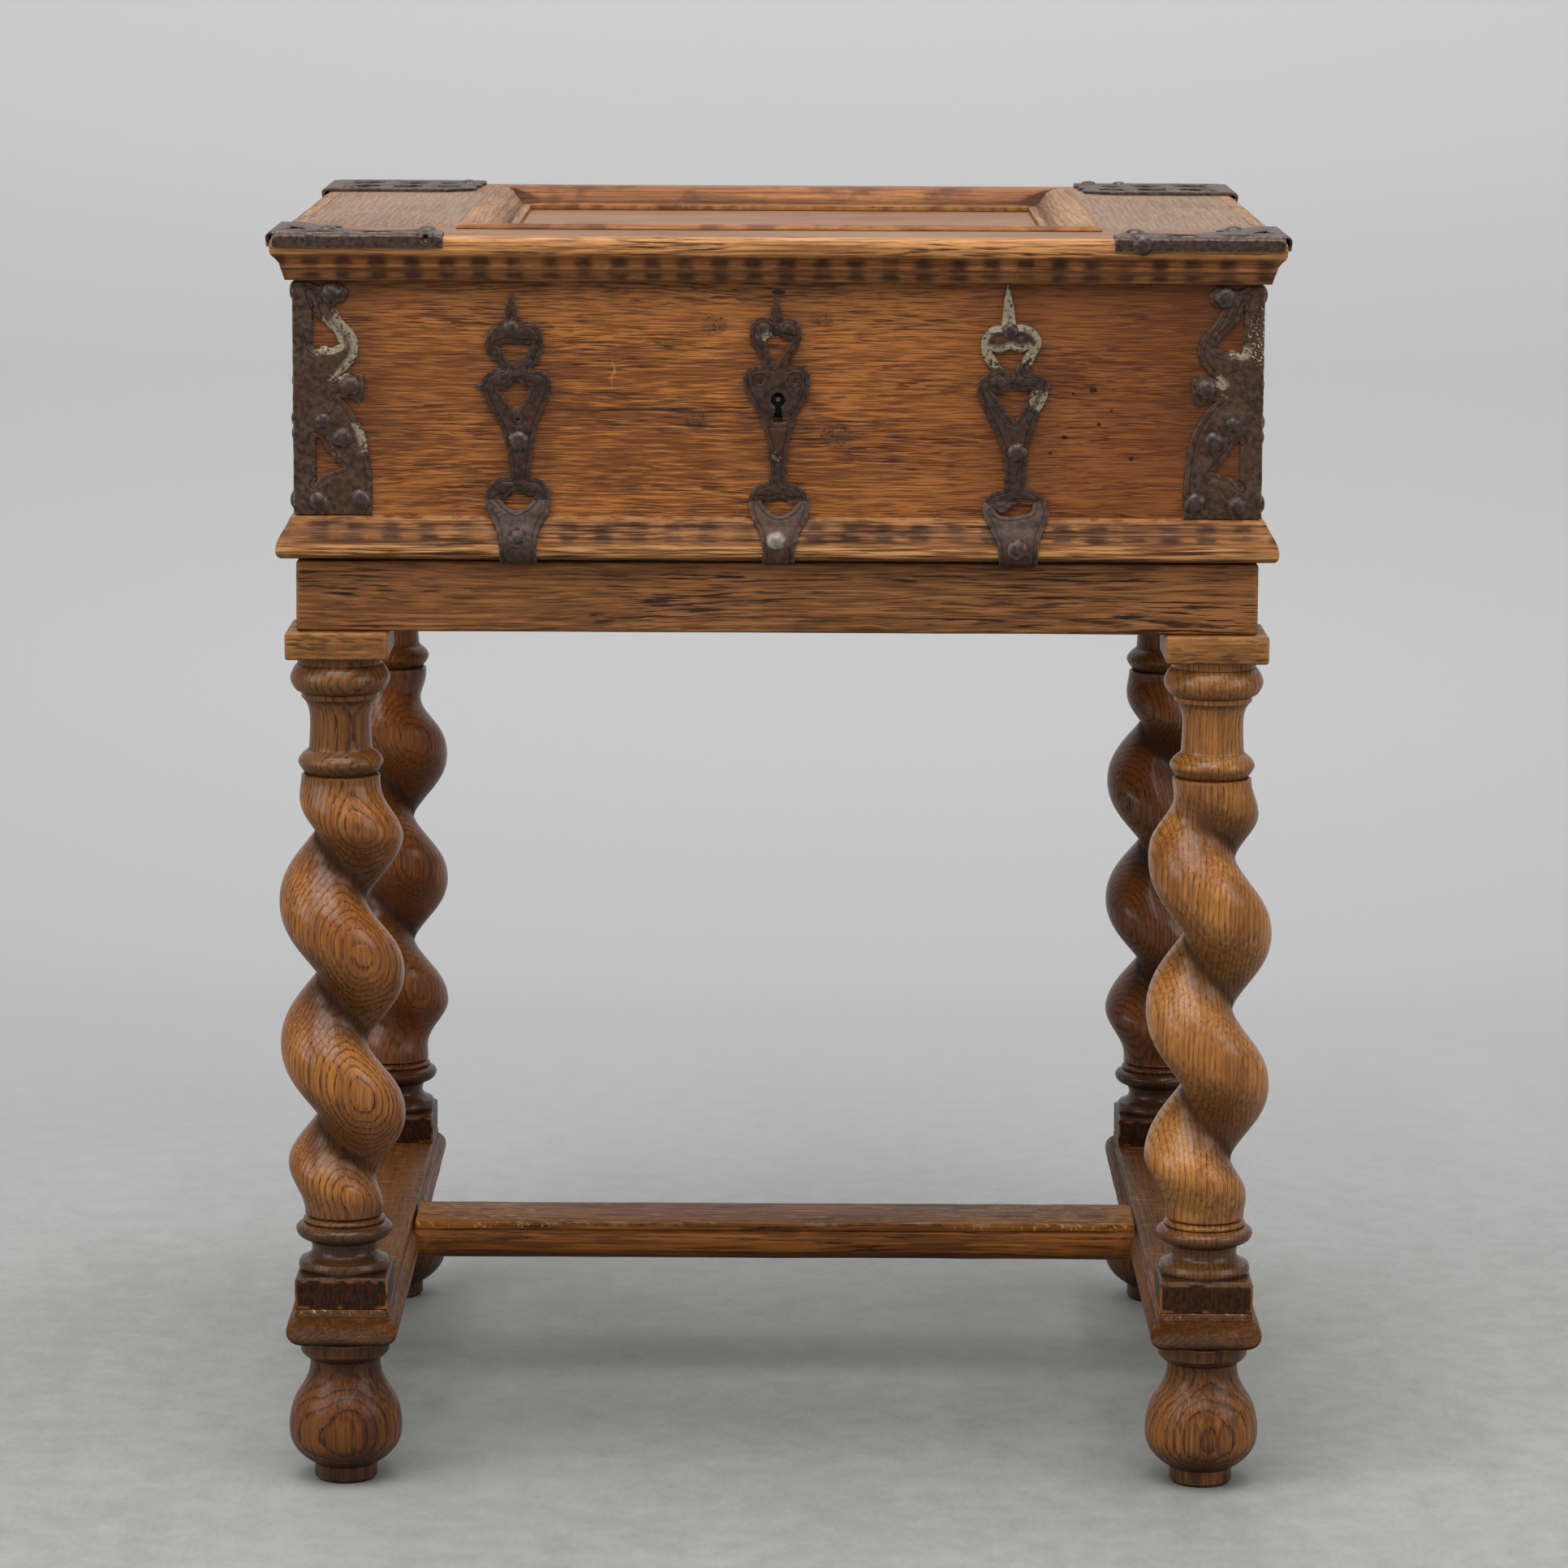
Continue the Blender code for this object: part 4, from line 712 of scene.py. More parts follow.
def mouldings(label, section, side_x, front_y, foot_z, body, slot, make_oak):
    """Run a moulding along the front and both ends, mitred at the front corners."""
    back_y = CASKET_HIGH.y
    mitre = 0.0003
    runs = {
        "front": (lambda out, up: Vector((-side_x - out, front_y - out, foot_z + up)),
                  lambda out, up: Vector((side_x + out, front_y - out, foot_z + up))),
        "left": (lambda out, up: Vector((-side_x - out, front_y - out + mitre, foot_z + up)),
                 lambda out, up: Vector((-side_x - out, back_y, foot_z + up))),
        "right": (lambda out, up: Vector((side_x + out, front_y - out + mitre, foot_z + up)),
                  lambda out, up: Vector((side_x + out, back_y, foot_z + up))),
    }
    for side, (start, end) in runs.items():
        bm = run(section, start, end)
        slice_up(bm, 0 if side == "front" else 1, 0.015)
        hand_worked(bm, 0.00025, 60.0)
        finished("run_" + label + "_" + side, bm, make_oak(side), body, slot, label + "_" + side, crease=50)


def base_oak(side):
    """Oak for one base moulding: blotched, golden along its foot and striped with dark grain."""
    axis = "X" if side == "front" else "Y"
    rows = [(CASKET_LOW.z + 0.0188, 0.0026, 0.0036), (CASKET_LOW.z + 0.0131, 0.0024, 0.0036)]
    pith = (0.0, -0.29, 0.50) if axis == "X" else (0.30, 0.0, 0.50)
    blotches = blotched(axis, rows, 0.0205, (48, 28, 15), 0.85)

    def stain(place, colour):
        height = place.along("Z")
        foot = CASKET_LOW.z
        golden = ramp(height, foot + 0.0105, foot + 0.0075) * ramp(height, foot, foot + 0.004)
        streaks = ramp(stretched(place, (24.0, 24.0, 700.0)), 0.42, 0.6)
        colour = blend(golden * streaks * 0.8, blotches(place, colour), tint(210, 154, 98))
        stripes = ramp(stretched(place, (18.0, 18.0, 900.0), 3.0), 0.54, 0.66)
        return blend(stripes * 0.6, colour, tint(50, 29, 14))

    return oak("base_moulding_oak_" + side, axis, pith, ((166, 109, 62), (110, 68, 35), (48, 27, 13)),
               ring=0.0035, ring_depth=0.4, dash=(700.0, 34.0), dash_depth=0.85, streak=3.0, shine=0.15,
               stain=stain)


base_section = [(0.0003, 0.0)] + [tuple(point * MM) for point in BASE_FACE_MM]
base_section += [(0.0003, BASE_TOP - CASKET_LOW.z)]
mouldings("base_moulding", base_section, CASKET_HIGH.x, CASKET_LOW.y, CASKET_LOW.z, "casket", "casket_oak",
          base_oak)


# Corner irons: sheet iron cut out in scrolls, folded round each corner of the casket and nailed.
# The iron is brown black, its edges are rubbed bright, and grey traces of tin are left on the scrolls.
IRON = 0.0016
IRON_EDGE = 0.0005
SHEET_GAP = 0.0003
INCISED_MM = 2.3
SWELL = 0.0006
SWELL_MM = 4.0
TIN_Y = -0.243


def wrought_iron(name, tinned=(), tones=((42, 31, 24), (82, 61, 50)), shine=0.44, painted_wall_shade=0.0, specks=()):
    """Blackened iron, mottled and rusty, rubbed along its edges.

    Tin is left along the edges at the spots in tinned, (x, z, radius) on the front, and in loose flecks
    at those in specks. The walls of the sheet's cut edges and holes can be darkened with painted shade.
    """
    material, paint, place = blank(name)
    mottle = stretched(place, (330.0, 330.0, 330.0), 4.0)
    grit = stretched(place, (1100.0, 1100.0, 1100.0), 3.0)
    bend = paint.mark("bend")
    colour = blend(ramp(mottle, 0.25, 0.80), tint(*tones[0]), tint(*tones[1]))
    colour = blend(ramp(grit, 0.54, 0.74) * 0.25, colour, tint(116, 95, 80))
    rust = ramp(stretched(place, (55.0, 55.0, 55.0), 3.0), 0.50, 0.70)
    colour = blend(rust * 0.45, colour, tint(84, 50, 31))
    colour = blend(ramp(bend, 0.02, 0.22) * 0.65, colour, tint(22, 15, 12))
    rim = paint.mark("rim")
    # painted shade on the walls of the sheet's cut edges and holes
    if painted_wall_shade:
        colour = blend(ramp(rim, 0.45, 0.1) * painted_wall_shade, colour, tint(14, 10, 8))
    incised = ramp(paint.math("ABSOLUTE", rim - INCISED_MM), 0.6, 0.15)
    colour = blend(incised * 0.6, colour, tint(20, 14, 11))
    rubbed = ramp(bend * -1.0, 0.06, 0.30) * ramp(mottle, 0.34, 0.6)
    colour = blend(rubbed * 0.65, colour, tint(156, 138, 122))
    for x, z, radius in tinned:
        here = spot(place, (x, TIN_Y, z), (radius, MARK_DEPTH, radius))
        patches = stretched(place, (520.0, 520.0, 520.0), 5.0) + here * 0.2
        flecks = ramp(patches, 0.52, 0.68) * ramp(here, 0.02, 0.4)
        colour = blend(flecks * ramp(rim, 4.5, 1.6) * 0.75, colour, tint(172, 158, 134))
    for x, z, radius in specks:
        here = spot(place, (x, TIN_Y, z), (radius, MARK_DEPTH, radius * 2.6))
        flecks = ramp(stretched(place, (640.0, 640.0, 640.0), 3.0), 0.58, 0.62) * ramp(here, 0.02, 0.4)
        colour = blend(flecks * 0.85, colour, tint(196, 184, 160))
    rough = shine + (grit - 0.5) * 0.3 - rubbed * 0.15
    height = mottle * 0.8 + grit * 0.5 - incised * 1.2
    bump = paint.node("Bump", {}, {"Strength": 0.45, "Distance": 0.0005, "Height": height})
    shader = coat_with(material, {"Base Color": colour, "Roughness": rough, "Normal": bump})
    shader.inputs["Metallic"].default_value = 0.3
    shader.inputs["Specular IOR Level"].default_value = 0.3
    return material


def mesh_of(curve):
    """The mesh of a curve; the curve itself is thrown away."""
    item = bpy.data.objects.new(curve.name, curve)
    bpy.context.scene.collection.objects.link(item)
    mesh = bpy.data.meshes.new_from_object(item.evaluated_get(bpy.context.evaluated_depsgraph_get()))
    bm = bmesh.new()
    bm.from_mesh(mesh)
    bpy.data.objects.remove(item)
    bpy.data.curves.remove(curve)
    bpy.data.meshes.remove(mesh)
    return bm


def cut_sheet(outlines, step=0.002):
    """Cut a flat iron sheet from outlines in millimetres, (x, y, soft): the first one, less the rest.

    The face is hammered up a little towards the middle of each band. Each point keeps its distance
    from the sheet's edge, in millimetres, for the line cut along it.
    """
    curve = bpy.data.curves.new("sheet", "CURVE")
    curve.dimensions = "2D"
    curve.fill_mode = "BOTH"
    curve.extrude = IRON / 2 - IRON_EDGE
    curve.bevel_depth = IRON_EDGE
    curve.bevel_resolution = 1
    curve.offset = -IRON_EDGE
    curve.resolution_u = 8
    for outline in outlines:
        spline = curve.splines.new("BEZIER")
        spline.bezier_points.add(len(outline) - 1)
        spline.use_cyclic_u = True
        for point, (x, y, soft) in zip(spline.bezier_points, outline):
            point.co = (x * MM, y * MM, 0.0)
            point.handle_left_type = point.handle_right_type = "AUTO" if soft else "VECTOR"
    bm = mesh_of(curve)
    bmesh.ops.remove_doubles(bm, verts=bm.verts, dist=2e-6)
    edge = kdtree.KDTree(len(bm.verts))
    for index, vertex in enumerate(bm.verts):
        edge.insert((vertex.co.x, vertex.co.y, 0.0), index)
    edge.balance()
    slice_up(bm, 0, step)
    slice_up(bm, 1, step)
    rim = bm.verts.layers.float.new("rim")
    for vertex in bm.verts:
        vertex[rim] = edge.find((vertex.co.x, vertex.co.y, 0.0))[2] * 1000
        if vertex.co.z > 0:
            vertex.co.z += SWELL * smoothstep(vertex[rim] / SWELL_MM)
    return bm


def emboss(bm, bosses):
    """Hammer round bosses, (x, y, radius, rise) in millimetres, up from a flat sheet's face."""
    for vertex in bm.verts:
        for x, y, radius, rise in bosses:
            away = math.hypot(vertex.co.x * 1000 - x, vertex.co.y * 1000 - y) / radius
            if vertex.co.z > 0 and away < 1:
                vertex.co.z += rise * MM * (1 - away * away) ** 0.7


def ring_hole(x, y, radius, points=8):
    """A round hole's outline."""
    turns = [2 * math.pi * step / points for step in range(points)]
    return [(x + radius * math.cos(turn), y + radius * math.sin(turn), 1) for turn in turns]


class Bed:
    """The faces that a sheet is hammered onto, as 2D points with the sheet on their left."""

    def __init__(self, points, zero):
        self.points = [Vector(point) for point in points]
        steps = [end - start for start, end in zip(self.points, self.points[1:])]
        normals = [Vector((-step.y, step.x)).normalized() for step in steps]
        self.mitres = []
        for before, after in zip(normals[:1] + normals, normals + normals[-1:]):
            self.mitres.append((before + after) / (1.0 + before.dot(after)))
        marks = [0.0]
        for step in steps:
            marks.append(marks[-1] + step.length)
        self.marks = [mark - marks[zero] for mark in marks]

    def fold(self, bm, axis):
        """Cut a flat sheet along its folds."""
        normal = Vector((axis == 0, axis == 1, 0.0))
        for mark in self.marks[1:-1]:
            cut_across(bm, normal * mark, normal)

    def place(self, along, depth):
        """Where a sheet's point comes to lie, by its distance along and its depth in the sheet."""
        index = 0
        while index < len(self.marks) - 2 and along > self.marks[index + 1]:
            index += 1
        share = (along - self.marks[index]) / (self.marks[index + 1] - self.marks[index])
        lift = SHEET_GAP + IRON / 2 + depth
        return (self.points[index].lerp(self.points[index + 1], share)
                + self.mitres[index].lerp(self.mitres[index + 1], share) * lift)


WING_MM = [
    (43.4, 0.0, 0), (43.4, 18.5, 1), (42.5, 30.1, 1), (40.7, 41.6, 1), (38.0, 50.5, 1), (34.0, 57.6, 1),
    (29.6, 64.7, 1), (25.2, 68.3, 0), (32.2, 67.4, 1), (37.1, 64.8, 0), (39.3, 71.8, 1), (39.5, 77.1, 1),
    (38.9, 81.1, 0), (35.4, 82.6, 1), (29.6, 82.2, 1), (25.6, 80.2, 0), (31.4, 86.0, 1), (35.4, 92.2, 1),
    (36.0, 99.3, 1), (33.1, 106.4, 1), (26.9, 113.5, 1), (22.4, 121.5, 0), (27.8, 123.2, 1),
    (30.3, 128.0, 1), (28.4, 132.6, 1), (21.6, 134.4, 1), (15.4, 132.4, 1), (9.2, 134.6, 0),
]
WING_HOLES_MM = [
    [(10.2, 125.9, 0), (11.8, 121.5, 1), (14.1, 114.8, 1), (18.9, 109.9, 1), (24.3, 103.7, 1),
     (25.5, 98.8, 0),
     (20.7, 96.8, 1), (16.3, 98.1, 1), (11.8, 95.9, 1), (10.2, 97.5, 0)],
    [(11.4, 45.0, 0), (14.1, 44.4, 1), (18.9, 37.2, 1), (24.3, 31.0, 1), (27.6, 27.2, 0), (22.5, 25.2, 1),
     (16.3, 23.0, 1), (11.7, 18.4, 0)],
]
WING_BOSSES_MM = [(16.0, 90.0, 7.5, 0.9), (18.5, 56.0, 8.5, 0.9), (24.0, 15.0, 8.0, 0.6)]
WING_TIN = {
    "front_left": [(-0.2500, 0.688, 0.020), (-0.2560, 0.674, 0.016), (-0.2480, 0.626, 0.014)],
    "front_right": [(0.2700, 0.676, 0.013), (0.2600, 0.662, 0.010), (0.2815, 0.694, 0.011),
                    (0.2815, 0.676, 0.009)],
}
WING_SPECKS = {"front_right": [(0.2885, 0.676, 0.007), (0.2780, 0.690, 0.008)]}
WALL_LOW, WALL_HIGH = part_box("wall_front")
SIDE_X = WALL_HIGH.x
CORNER_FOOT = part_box("corner_iron_front_left")[0].z


def flipped(outline):
    """An outline's mirror image, run the other way."""
    return [(-x, y, soft) for x, y, soft in reversed(outline)]


corner_bed = Bed([(0.1 - SIDE_X, WALL_LOW.y), (-SIDE_X, WALL_LOW.y), (-SIDE_X, 0.1 + WALL_LOW.y)], 1)
for corner, (side, depth) in CORNERS.items():
    bm = cut_sheet([WING_MM + flipped(WING_MM)] + WING_HOLES_MM + [flipped(hole) for hole in WING_HOLES_MM])
    corner_bed.fold(bm, 0)
    emboss(bm, WING_BOSSES_MM + [(-x, y, radius, rise) for x, y, radius, rise in WING_BOSSES_MM])
    for vertex in bm.verts:
        x, y = corner_bed.place(vertex.co.x, vertex.co.z)
        vertex.co = (-side * x, -depth * y, CORNER_FOOT + vertex.co.y)
    hand_worked(bm, 0.00018, 120.0)
    iron = wrought_iron("corner_iron_" + corner, WING_TIN.get(corner, ()), ((50, 35, 27), (98, 74, 58)),
                        specks=WING_SPECKS.get(corner, ()))
    finished("scrolled_corner_iron_" + corner, bm, iron, "casket", "iron", "corner_iron_" + corner)


# Straps: three upright irons on the front, cut to linked hearts with a spike on top. They bend out
# over the base moulding and under the box; the middle one is the lock plate, with the keyhole.
STRAP_LEFT_MM = [
    (-4.4, 126.4, 0), (-1.0, 115.2, 1), (0.3, 108.2, 0), (2.8, 109.2, 1), (8.7, 108.2, 1),
    (13.6, 101.7, 1), (14.1, 94.7, 1), (10.9, 86.1, 1), (7.7, 81.3, 0), (13.0, 80.7, 1), (17.9, 77.0, 1),
    (18.4, 71.0, 1), (15.2, 60.3, 1), (10.9, 49.5, 1), (8.2, 37.7, 1), (6.8, 23.7, 1), (6.6, 18.3, 0),
    (9.8, 18.3, 1), (15.7, 14.0, 1), (18.4, 6.5, 1), (17.3, -2.1, 1), (13.0, -10.0, 1), (10.8, -18.0, 1),
    (10.4, -30.0, 0), (10.4, -48.0, 0), (-11.0, -48.0, 0), (-11.0, -30.0, 0), (-12.0, -18.0, 1),
    (-14.4, -9.0, 1), (-18.2, -1.0, 1), (-20.1, 6.5, 1), (-17.1, 14.0, 1), (-10.6, 18.8, 1),
    (-5.3, 18.8, 0), (-5.5, 23.7, 1), (-6.9, 34.4, 1), (-9.6, 45.2, 1), (-13.9, 53.8, 1),
    (-19.3, 63.5, 1), (-21.0, 68.8, 0), (-26.0, 71.4, 0), (-21.4, 73.8, 0), (-20.8, 77.0, 1),
    (-16.0, 80.9, 1), (-10.6, 81.8, 0), (-13.3, 86.1, 1), (-16.6, 88.3, 1), (-19.4, 93.6, 1),
    (-18.5, 101.2, 1), (-13.3, 107.6, 1), (-8.5, 109.2, 0), (-7.4, 117.3, 1),
]
STRAP_LEFT_HOLES_MM = [
    [(-12.0, 95.2, 0), (-6.3, 97.1, 1), (-1.0, 95.8, 1), (7.4, 96.3, 0), (3.3, 88.3, 1), (-2.0, 83.4, 0),
     (-7.4, 88.3, 1)],
    [(-11.5, 69.4, 0), (-6.3, 70.5, 1), (-1.5, 74.3, 1), (3.3, 72.1, 1), (6.8, 71.6, 0), (3.3, 63.5, 1),
     (-1.5, 57.0, 0), (-6.3, 62.4, 1)],
    [(-11.0, 5.9, 0), (-6.3, 7.0, 1), (-1.2, 11.0, 1), (4.4, 7.8, 1), (8.7, 7.5, 0), (4.4, 1.6, 1),
     (-1.5, -2.1, 0), (-6.3, 1.1, 1)],
    ring_hole(-0.6, 52.5, 1.0),
]
STRAP_MIDDLE_MM = [
    (-1.3, 124.1, 1), (0.4, 120.8, 1), (2.6, 111.7, 0), (6.0, 112.1, 1), (11.4, 109.1, 1),
    (13.5, 102.6, 1), (10.8, 94.0, 1), (6.4, 86.5, 1), (5.5, 83.7, 0), (11.4, 85.2, 1), (16.7, 82.2, 1),
    (18.7, 74.7, 1), (15.7, 64.0, 1), (10.3, 53.3, 1), (7.1, 41.5, 1), (5.5, 30.8, 1), (5.2, 16.6, 0),
    (11.4, 14.7, 1), (16.7, 9.3, 1), (18.7, 1.8, 1), (16.2, -7.8, 1), (12.2, -16.0, 1), (10.4, -24.0, 1),
    (9.8, -32.0, 0), (9.8, -48.0, 0), (-9.0, -48.0, 0), (-9.0, -32.0, 0), (-8.8, -24.0, 1),
    (-10.6, -15.0, 1), (-14.4, -6.7, 1), (-16.7, 1.8, 1), (-16.0, 9.3, 1), (-11.1, 14.7, 1),
    (-4.7, 16.6, 0), (-4.7, 23.3, 1), (-5.2, 34.0, 1), (-7.4, 44.7, 1), (-10.6, 54.4, 1),
    (-16.0, 64.0, 1), (-19.6, 72.6, 1), (-19.2, 80.1, 1), (-14.4, 83.3, 1), (-9.2, 84.0, 0),
    (-10.1, 88.7, 1), (-14.4, 95.1, 1), (-16.5, 102.6, 1), (-14.9, 109.1, 1), (-10.1, 112.3, 1),
    (-4.7, 111.7, 0), (-3.4, 119.8, 1),
]
KEYHOLE_MM = [
    (1.9, 60.6, 0), (2.2, 55.5, 0), (5.0, 53.2, 1), (5.2, 51.9, 0), (0.0, 50.6, 1), (-5.2, 51.9, 0),
    (-5.0, 53.2, 1), (-2.2, 55.5, 0), (-1.9, 60.6, 0), (-3.9, 62.6, 1), (-4.2, 65.5, 1), (-2.4, 68.2, 1),
    (0.0, 69.0, 1), (2.4, 68.2, 1), (4.2, 65.5, 1), (3.9, 62.6, 1),
]
STRAP_MIDDLE_HOLES_MM = [
    [(-6.8, 99.9, 0), (-2.2, 102.2, 1), (1.9, 100.2, 1), (8.2, 99.2, 0), (2.4, 90.6, 1), (-2.3, 84.2, 0),
     (-5.0, 90.6, 1)],
    [(-9.6, 6.0, 0), (-4.7, 5.0, 1), (1.2, 7.0, 1), (6.5, 4.8, 1), (11.9, 4.8, 0), (7.8, -0.6, 1),
     (2.4, -3.5, 1), (-1.7, -3.0, 1), (-5.9, 0.5, 1)],
    ring_hole(-10.3, 75.3, 1.6), ring_hole(9.8, 75.6, 1.6), ring_hole(-0.6, 109.6, 1.4), KEYHOLE_MM,
]
STRAP_RIGHT_MM = [
    (-7.7, 133.0, 0), (-6.0, 127.6, 1), (-3.3, 114.1, 1), (-2.7, 109.0, 0), (3.4, 108.5, 1),
    (9.6, 104.1, 1), (12.1, 98.5, 1), (8.5, 89.6, 1), (5.7, 82.9, 1), (4.3, 80.5, 0), (11.2, 80.7, 1),
    (16.3, 75.7, 1), (16.3, 68.4, 1), (11.8, 58.4, 1), (7.9, 47.2, 1), (5.7, 38.3, 1), (4.5, 27.2, 1),
    (4.0, 13.8, 0), (9.0, 12.1, 1), (15.7, 6.0, 1), (17.4, -1.7, 1), (14.6, -11.0, 1), (11.8, -19.0, 1),
    (10.8, -30.0, 0), (10.8, -48.0, 0), (-11.4, -48.0, 0), (-11.4, -30.0, 0), (-13.4, -20.0, 1),
    (-17.2, -10.6, 1), (-20.6, -1.2, 1), (-20.4, 4.9, 1), (-15.5, 11.0, 1), (-8.8, 12.7, 0),
    (-8.3, 19.4, 1), (-9.4, 31.6, 1), (-13.3, 43.9, 1), (-20.0, 57.3, 1), (-24.2, 67.3, 1),
    (-24.8, 72.9, 1), (-21.8, 78.4, 1), (-15.7, 81.3, 0), (-20.5, 87.4, 1), (-22.8, 96.3, 1),
    (-21.2, 103.0, 1), (-16.6, 107.4, 1), (-11.1, 108.5, 0), (-9.4, 124.0, 1),
]
STRAP_RIGHT_HOLES_MM = [
    [(-16.8, 93.5, 0), (-11.1, 92.7, 1), (-6.0, 94.6, 1), (-0.5, 92.7, 1), (4.0, 94.0, 0), (-0.5, 86.2, 1),
     (-5.3, 77.6, 0), (-11.6, 85.1, 1)],
    [(-15.5, 69.5, 0), (-11.1, 68.2, 1), (-5.3, 71.8, 1), (0.1, 70.4, 1), (6.8, 70.6, 0), (2.3, 60.6, 1),
     (-2.7, 52.5, 0), (-8.8, 59.5, 1)],
    [(-13.8, 1.0, 0), (-8.8, -1.2, 1), (-3.3, 3.8, 1), (7.9, 3.8, 0), (7.3, -0.1, 1), (1.2, -2.4, 1),
     (-6.6, -3.5, 1), (-11.6, -2.4, 1)],
]
STRAPS = {
    "left": (STRAP_LEFT_MM, STRAP_LEFT_HOLES_MM,
             [(-12.0, 101.0, 5.5, 1.0), (5.0, 103.0, 5.0, 1.0), (-8.0, 75.0, 6.0, 0.9),
              (5.0, 76.0, 6.0, 0.9),
              (-6.5, 11.5, 4.5, 0.7), (4.5, 11.5, 4.5, 0.7)], []),
    "middle": (STRAP_MIDDLE_MM, STRAP_MIDDLE_HOLES_MM,
               [(-8.5, 105.3, 4.6, 1.5), (4.9, 105.3, 4.8, 1.5)],
               [(-0.0085, 0.690, 0.006)]),
    "right": (STRAP_RIGHT_MM, STRAP_RIGHT_HOLES_MM,
              [(-12.0, 97.0, 5.0, 0.8), (1.0, 97.0, 5.0, 0.8), (-11.0, 73.0, 5.5, 0.9),
               (1.0, 73.5, 5.5, 0.9)],
              [(0.127, 0.686, 0.020), (0.146, 0.688, 0.020), (0.131, 0.706, 0.022),
               (0.152, 0.652, 0.008)]),
}
STRAP_FOLD = 0.0335
STRAP_DATUM = 0.0280
STRAP_TAIL = 0.018
base_out = [(point.x * MM, point.y * MM) for point in BASE_FACE_MM if point.y < 19.0]
below = [(base_out[0][0] - STRAP_TAIL, 0.0)] + base_out
below += [(0.0, STRAP_FOLD), (0.0, 0.2)]
strap_bed = Bed([(WALL_LOW.y - out, CASKET_LOW.z + up) for out, up in below], len(below) - 2)
strap_bed.marks = [mark + STRAP_FOLD - STRAP_DATUM for mark in strap_bed.marks]
STRAP_X = {side: middle_of("strap_" + side).x for side in STRAPS}
for side, (outline, holes, bosses, tinned) in STRAPS.items():
    bm = cut_sheet([outline] + holes)
    strap_bed.fold(bm, 1)
    emboss(bm, bosses)
    for vertex in bm.verts:
        y, z = strap_bed.place(max(vertex.co.y, strap_bed.marks[0]), vertex.co.z)
        vertex.co = (vertex.co.x + STRAP_X[side], y, z)
    hand_worked(bm, 0.00018, 120.0)
    finished("hearted_strap_" + side, bm, wrought_iron("strap_iron_" + side, tinned),
             "casket", "iron", "strap_" + side)


# Nails: hand-forged iron nails with domed heads hold the irons on, with a slotted screw in the
# lock plate. No two heads are quite alike.
def nail_head(bm, point, facing, radius, rise):
    """A domed nail head on a face, a little out of round."""
    made = bmesh.ops.create_uvsphere(bm, u_segments=18, v_segments=10, radius=1.0)["verts"]
    for vertex in made:
        vertex.co *= 1.0 + 0.05 * noise.noise(vertex.co * 1.3 + point * 900)
        vertex.co.z = max(vertex.co.z, -0.15)
    bmesh.ops.scale(bm, verts=made, vec=(radius, radius, rise))
    turn = Vector(facing).to_track_quat("Z", "Y").to_matrix().to_4x4()
    bmesh.ops.transform(bm, verts=made, matrix=Matrix.Translation(point) @ turn)


WING_NAILS = [
    (22.1, 128.2, 6.4), (32.3, 74.9, 6.1), (16.8, 54.6, 5.0), (27.7, 44.8, 6.1), (13.8, 7.3, 6.0),
    (38.0, 9.0, 6.1),
]
nail_iron = wrought_iron("nail_iron", tones=((46, 36, 33), (82, 66, 60)), shine=0.34)
for corner, (side, depth) in CORNERS.items():
    bm = bmesh.new()
    for out, up, radius in WING_NAILS:
        height = CORNER_FOOT + up * MM
        skin = SHEET_GAP + IRON
        front = Vector((side * (SIDE_X + skin - out * MM), depth * (skin - WALL_LOW.y), height))
        end = Vector((side * (SIDE_X + skin), depth * (skin - WALL_LOW.y - out * MM), height))
        nail_head(bm, front, (0.0, depth, 0.0), radius * MM, radius * 0.00062)
        nail_head(bm, end, (side, 0.0, 0.0), radius * MM, radius * 0.00062)
    finished("corner_nails_" + corner, bm, nail_iron, "casket", "iron")

STRAP_NAILS = {
    "left": [(-4.7, 105.5, 4.8), (-0.4, 39.8, 6.1)],
    "middle": [],
    "right": [(-1.2, 34.4, 5.8), (-6.0, 105.2, 4.7)],
}
pale_nail_iron = wrought_iron("pale_nail_iron", tones=((104, 95, 86), (150, 140, 128)), shine=0.34)
TAB_NAIL_ALONG = {"left": -0.0185, "middle": -0.0190, "right": -0.0235}
for side, heads in STRAP_NAILS.items():
    bm = bmesh.new()
    for x, up, radius in heads:
        y, z = strap_bed.place(up * MM, IRON / 2)
        at = Vector((STRAP_X[side] + x * MM, y, z))
        nail_head(bm, at, (0.0, -1.0, 0.0), radius * MM, radius * 0.0006)
    along = TAB_NAIL_ALONG[side]
    y, z = strap_bed.place(along, IRON / 2)
    ahead = strap_bed.place(along + 0.001, IRON / 2) - strap_bed.place(along - 0.001, IRON / 2)
    nail_head(bm, Vector((STRAP_X[side] - 0.0008, y, z)), (0.0, -ahead.y, ahead.x), 0.0061, 0.0030)
    finished("strap_nails_" + side, bm, pale_nail_iron if side == "middle" else nail_iron, "casket", "iron")

SCREW_R = 0.0030
SCREW_SLOT = 0.0008
y, z = strap_bed.place(0.0316, IRON / 2)
bm = bmesh.new()
bmesh.ops.create_circle(bm, cap_ends=True, segments=24, radius=SCREW_R)
for edge in (-SCREW_SLOT / 2, SCREW_SLOT / 2):
    cut_across(bm, (0.0, edge, 0.0), (0.0, 1.0, 0.0))
lands = [face for face in bm.faces if abs(face.calc_center_median().y) > SCREW_SLOT / 2]
raised = bmesh.ops.extrude_face_region(bm, geom=lands)["geom"]
raised = [item for item in raised if isinstance(item, bmesh.types.BMVert)]
bmesh.ops.translate(bm, verts=raised, vec=(0.0, 0.0, 0.0009))
turn = Matrix.Rotation(math.pi / 2, 4, "X") @ Matrix.Rotation(math.radians(-42), 4, "Z")
bmesh.ops.transform(bm, verts=bm.verts, matrix=Matrix.Translation((STRAP_X["middle"] - 0.0006, y, z)) @ turn)
